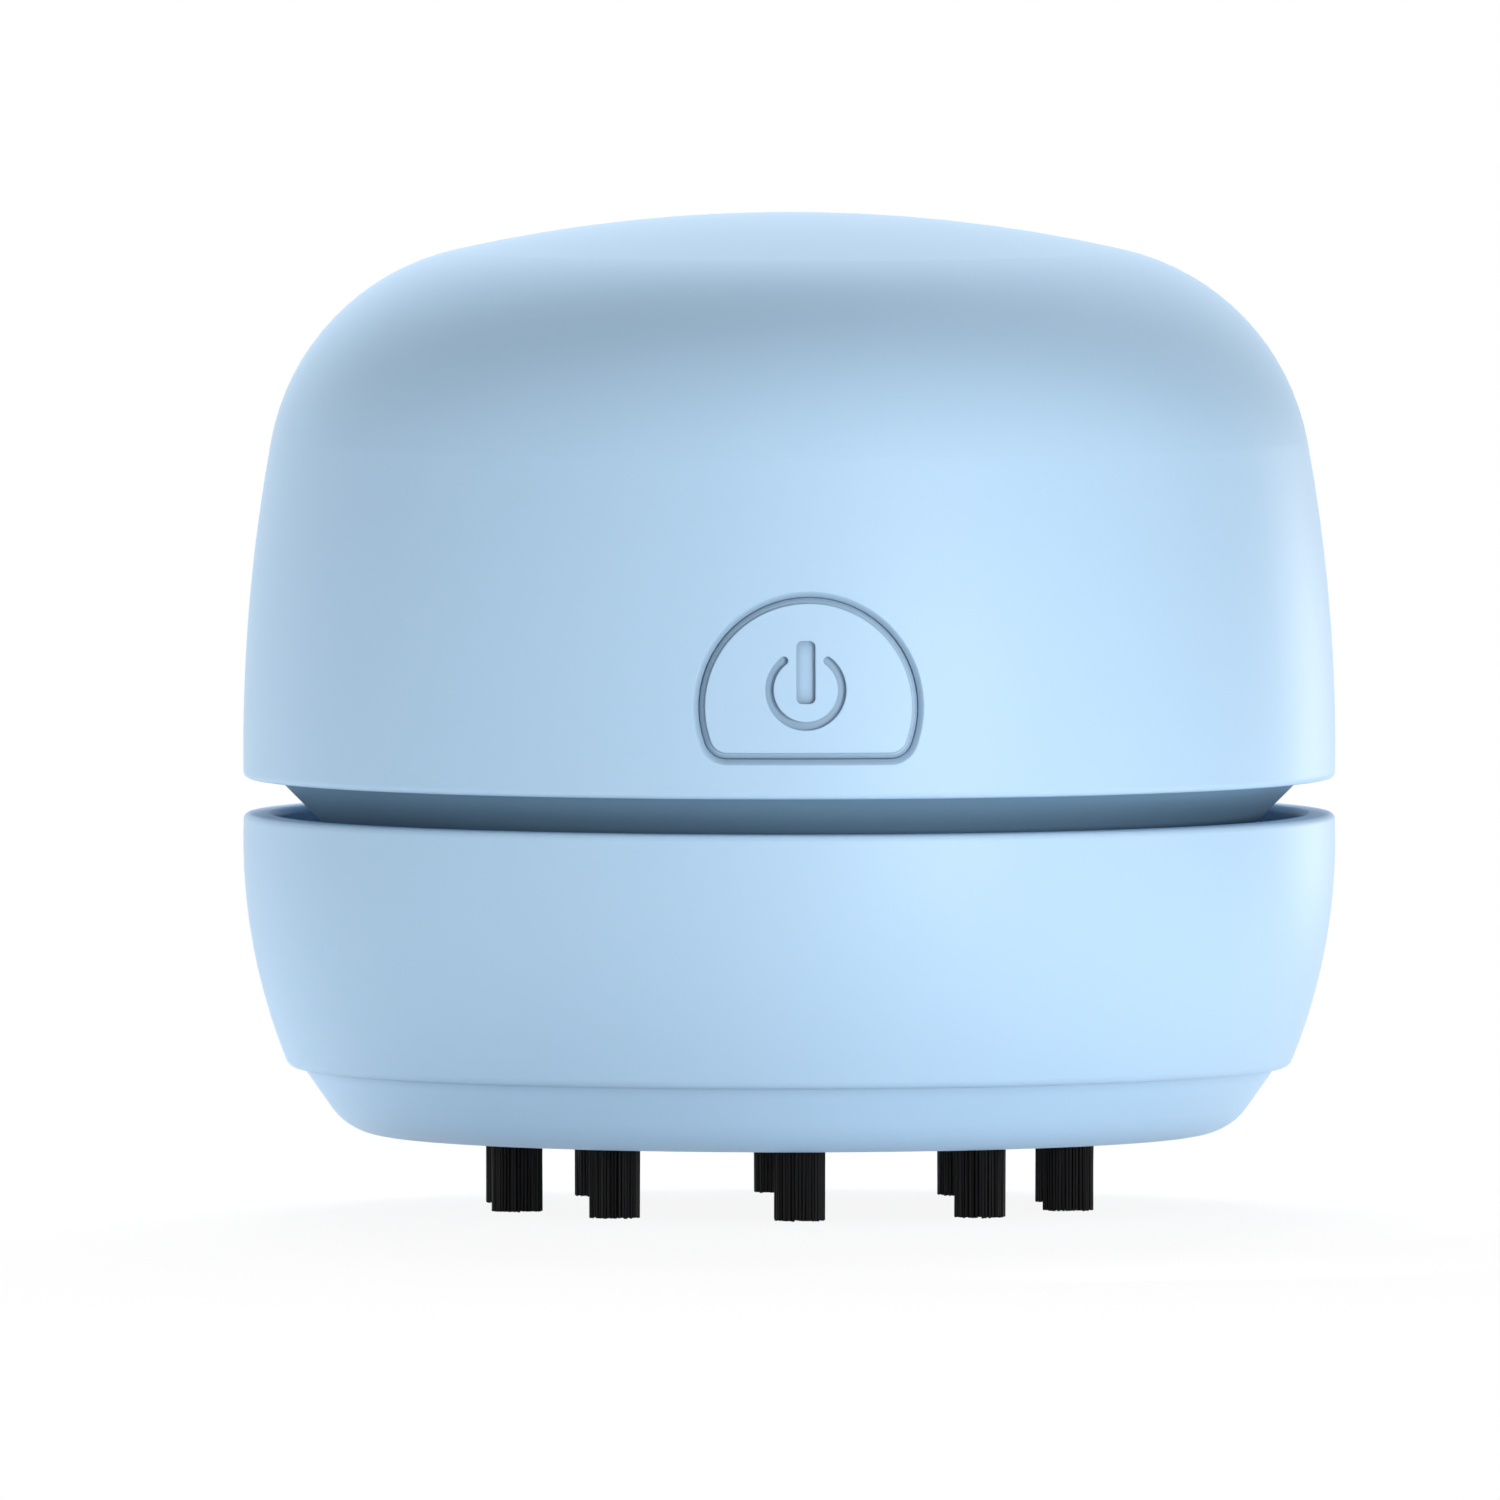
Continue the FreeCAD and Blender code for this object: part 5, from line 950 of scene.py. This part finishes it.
chance = random.Random(7)
tuft = start_rod("bristle_bundle", (0, 0, (tuft_high.z + CORE_FOOT) / 2),
                 TUFT_RADIUS - CORE_INSET, tuft_high.z - CORE_FOOT, 24)
bpy.ops.object.mode_set(mode="EDIT")
ring_radius = TUFT_RADIUS - FILAMENT_RADIUS
filaments = 0
while ring_radius > 0:
    in_ring = round(2 * math.pi * ring_radius / FILAMENT_PITCH)
    for number in range(in_ring):
        angle = 2 * math.pi * (number + chance.uniform(-RING_SPREAD, RING_SPREAD)) / in_ring
        foot = chance.uniform(0, TIP_SPREAD) if filaments else 0
        lean = chance.uniform(-LEAN, LEAN)
        bpy.ops.mesh.primitive_cone_add(
            vertices=6, radius1=FILAMENT_RADIUS * FILAMENT_TAPER, radius2=FILAMENT_RADIUS,
            depth=FILAMENT_TOP - foot,
            location=(ring_radius * math.cos(angle), ring_radius * math.sin(angle),
                      (FILAMENT_TOP + foot) / 2),
            rotation=(lean, lean / 2, chance.uniform(0, 1)))
        filaments += 1
    ring_radius -= FILAMENT_PITCH
leave_edit()
print("filaments in a tuft:", filaments, "faces:", len(tuft.data.polygons))

# %% Ten tufts
TUFTS = 10
TUFT_TURN = 2.4

for number in range(1, TUFTS + 1):
    node_name = f"bristle_tuft_{number:02d}"
    low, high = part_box(node_name)
    copy = copy_mesh(tuft, f"bristles_{number:02d}")
    place = Matrix.Translation(((low.x + high.x) / 2, (low.y + high.y) / 2, 0))
    copy.matrix_world = place @ Matrix.Rotation(TUFT_TURN * number, 4, "Z")
    only(copy)
    bpy.ops.object.transform_apply(location=True, rotation=True, scale=True)
    dress(copy, "bristle_black", "cup", node_name)
bpy.data.meshes.remove(tuft.data)

# %% [markdown]
# ## Screws with a cross recess
#
# The base is held to the bowl by four screws, and four more hold the fan frame in
# the shell. Their heads can be seen from below. One screw is modelled head down: a
# disc with a rounded rim, a shank drawn out of its back by an inset and an extrude,
# and a cross cut by two tapered blades, as the driver's tip would fit it.

# %% One screw
HEAD_RADIUS = 1.6 * MM
HEAD_HEIGHT = 1.3 * MM
HEAD_EDGE = 0.4 * MM
SHANK_RADIUS = 1.0 * MM
TIP_LENGTH = 0.6 * MM
TIP_SHARE = 0.6
BLADE_LENGTH = 2.0 * MM
BLADE_WIDTH = 0.46 * MM
BLADE_DEPTH = 0.85 * MM
BLADE_TAPER = 0.35


def recess_blade(turn):
    """One blade of the driver's cross, tapered to its end."""
    size = (BLADE_LENGTH, BLADE_WIDTH, 2 * BLADE_DEPTH)
    blade = start_block("recess_blade", (0, 0, 0), size, turn)
    edit_faces(blade, lambda centre, normal: normal.z > ALONG)
    bpy.ops.transform.resize(value=(BLADE_TAPER, BLADE_TAPER, 1))
    leave_edit()
    return blade


def make_screw(name, length):
    """A pan-head screw of that whole length, its head's face at the origin."""
    screw = start_rod(name, (0, 0, HEAD_HEIGHT / 2), HEAD_RADIUS, HEAD_HEIGHT, 32)
    edit_edges(screw, lambda middle, way: middle.z < HAIR)
    bpy.ops.mesh.bevel(offset=HEAD_EDGE, segments=4)
    leave_edit()
    edit_faces(screw, lambda centre, normal: normal.z > ALONG)
    bpy.ops.mesh.inset(thickness=HEAD_RADIUS - SHANK_RADIUS)
    for rise, share in ((length - HEAD_HEIGHT - TIP_LENGTH, 1), (TIP_LENGTH, TIP_SHARE)):
        bpy.ops.mesh.extrude_region_move(TRANSFORM_OT_translate={"value": (0, 0, rise)})
        bpy.ops.transform.resize(value=(share, share, 1))
    leave_edit()
    for turn in (0, math.pi / 2):
        trim(screw, "DIFFERENCE", recess_blade(turn))
    close_piece(screw, angle=35)
    return screw


# %% Screws of the base and the fan frame
SCREW_TURN = 0.7


def set_of_screws(node_name, body):
    """Four screws at the corners of a measured set's box, as one piece."""
    low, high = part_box(node_name)
    screw = make_screw(node_name + "_one", high.z - low.z)
    corners = ((low.x, low.y), (high.x, low.y), (high.x, high.y), (low.x, high.y))
    copies = []
    for number, (x, y) in enumerate(corners):
        inward = Vector((math.copysign(HEAD_RADIUS, -x), math.copysign(HEAD_RADIUS, -y), 0))
        place = Matrix.Translation(Vector((x, y, low.z)) + inward)
        copy = copy_mesh(screw, node_name + "_dressed")
        copy.matrix_world = place @ Matrix.Rotation(SCREW_TURN * number, 4, "Z")
        only(copy)
        bpy.ops.object.transform_apply(location=True, rotation=True, scale=True)
        copies.append(copy)
    bpy.data.meshes.remove(screw.data)
    only(copies[0])
    for copy in copies[1:]:
        copy.select_set(True)
    bpy.ops.object.join()
    dress(copies[0], "screw_steel", body, node_name)


set_of_screws("base_screws", "cup")
set_of_screws("frame_screws", "housing")

# %% [markdown]
# ## The felt filter
#
# The filter is a disc of needle felt that lies in its frame on two crossed bars. It
# shows when the bowl is off. Felt is soft, so its rim is rounded where the die
# pressed it, and its face is a little uneven. The disc is inset into rings, so that
# there are enough faces to bend, and a Displace modifier with a cloudy texture gives
# the uneven loft. Its middle level is set high, so that the felt sinks far more than
# it swells and stays clear of its frame.

# %% Felt disc
FELT_CLEARANCE = 0.1 * MM
FELT_EDGE = 0.55 * MM
FELT_BORDER = 0.6 * MM
FELT_RINGS = 12
FELT_SIDES = 96
FELT_MIDDLE = 0.1 * MM
LOFT_SIZE = 4 * MM
LOFT_DEPTH = 0.25 * MM
LOFT_LEVEL = 0.9

felt_low, felt_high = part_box("filter_pad")
felt_radius = felt_high.x - FELT_CLEARANCE
felt_height = felt_high.z - felt_low.z - 2 * FELT_CLEARANCE
felt = start_rod("felt_filter", (0, 0, (felt_low.z + felt_high.z) / 2), felt_radius, felt_height,
                 FELT_SIDES)
edit_edges(felt, lambda middle, way: abs(way.z) < 1 - ALONG)
bpy.ops.mesh.bevel(offset=FELT_EDGE, segments=4)
leave_edit()
edit_faces(felt, lambda centre, normal: abs(normal.z) > ALONG
           and math.hypot(centre.x, centre.y) < FELT_MIDDLE)
for ring in range(FELT_RINGS):
    bpy.ops.mesh.inset(thickness=(felt_radius - FELT_BORDER) / (FELT_RINGS + 1))
leave_edit()
print("felt has", len(felt.data.polygons), "faces before its loft")

# %% The felt's loft
loft = bpy.data.textures.new("felt_loft", "CLOUDS")
loft.noise_scale = LOFT_SIZE
uneven = felt.modifiers.new("uneven", "DISPLACE")
uneven.texture = loft
uneven.strength = LOFT_DEPTH
uneven.mid_level = LOFT_LEVEL
only(felt)
bpy.ops.object.modifier_apply(modifier=uneven.name)
close_piece(felt, angle=60)
dress(felt, "filter_felt", "housing", "filter_pad")
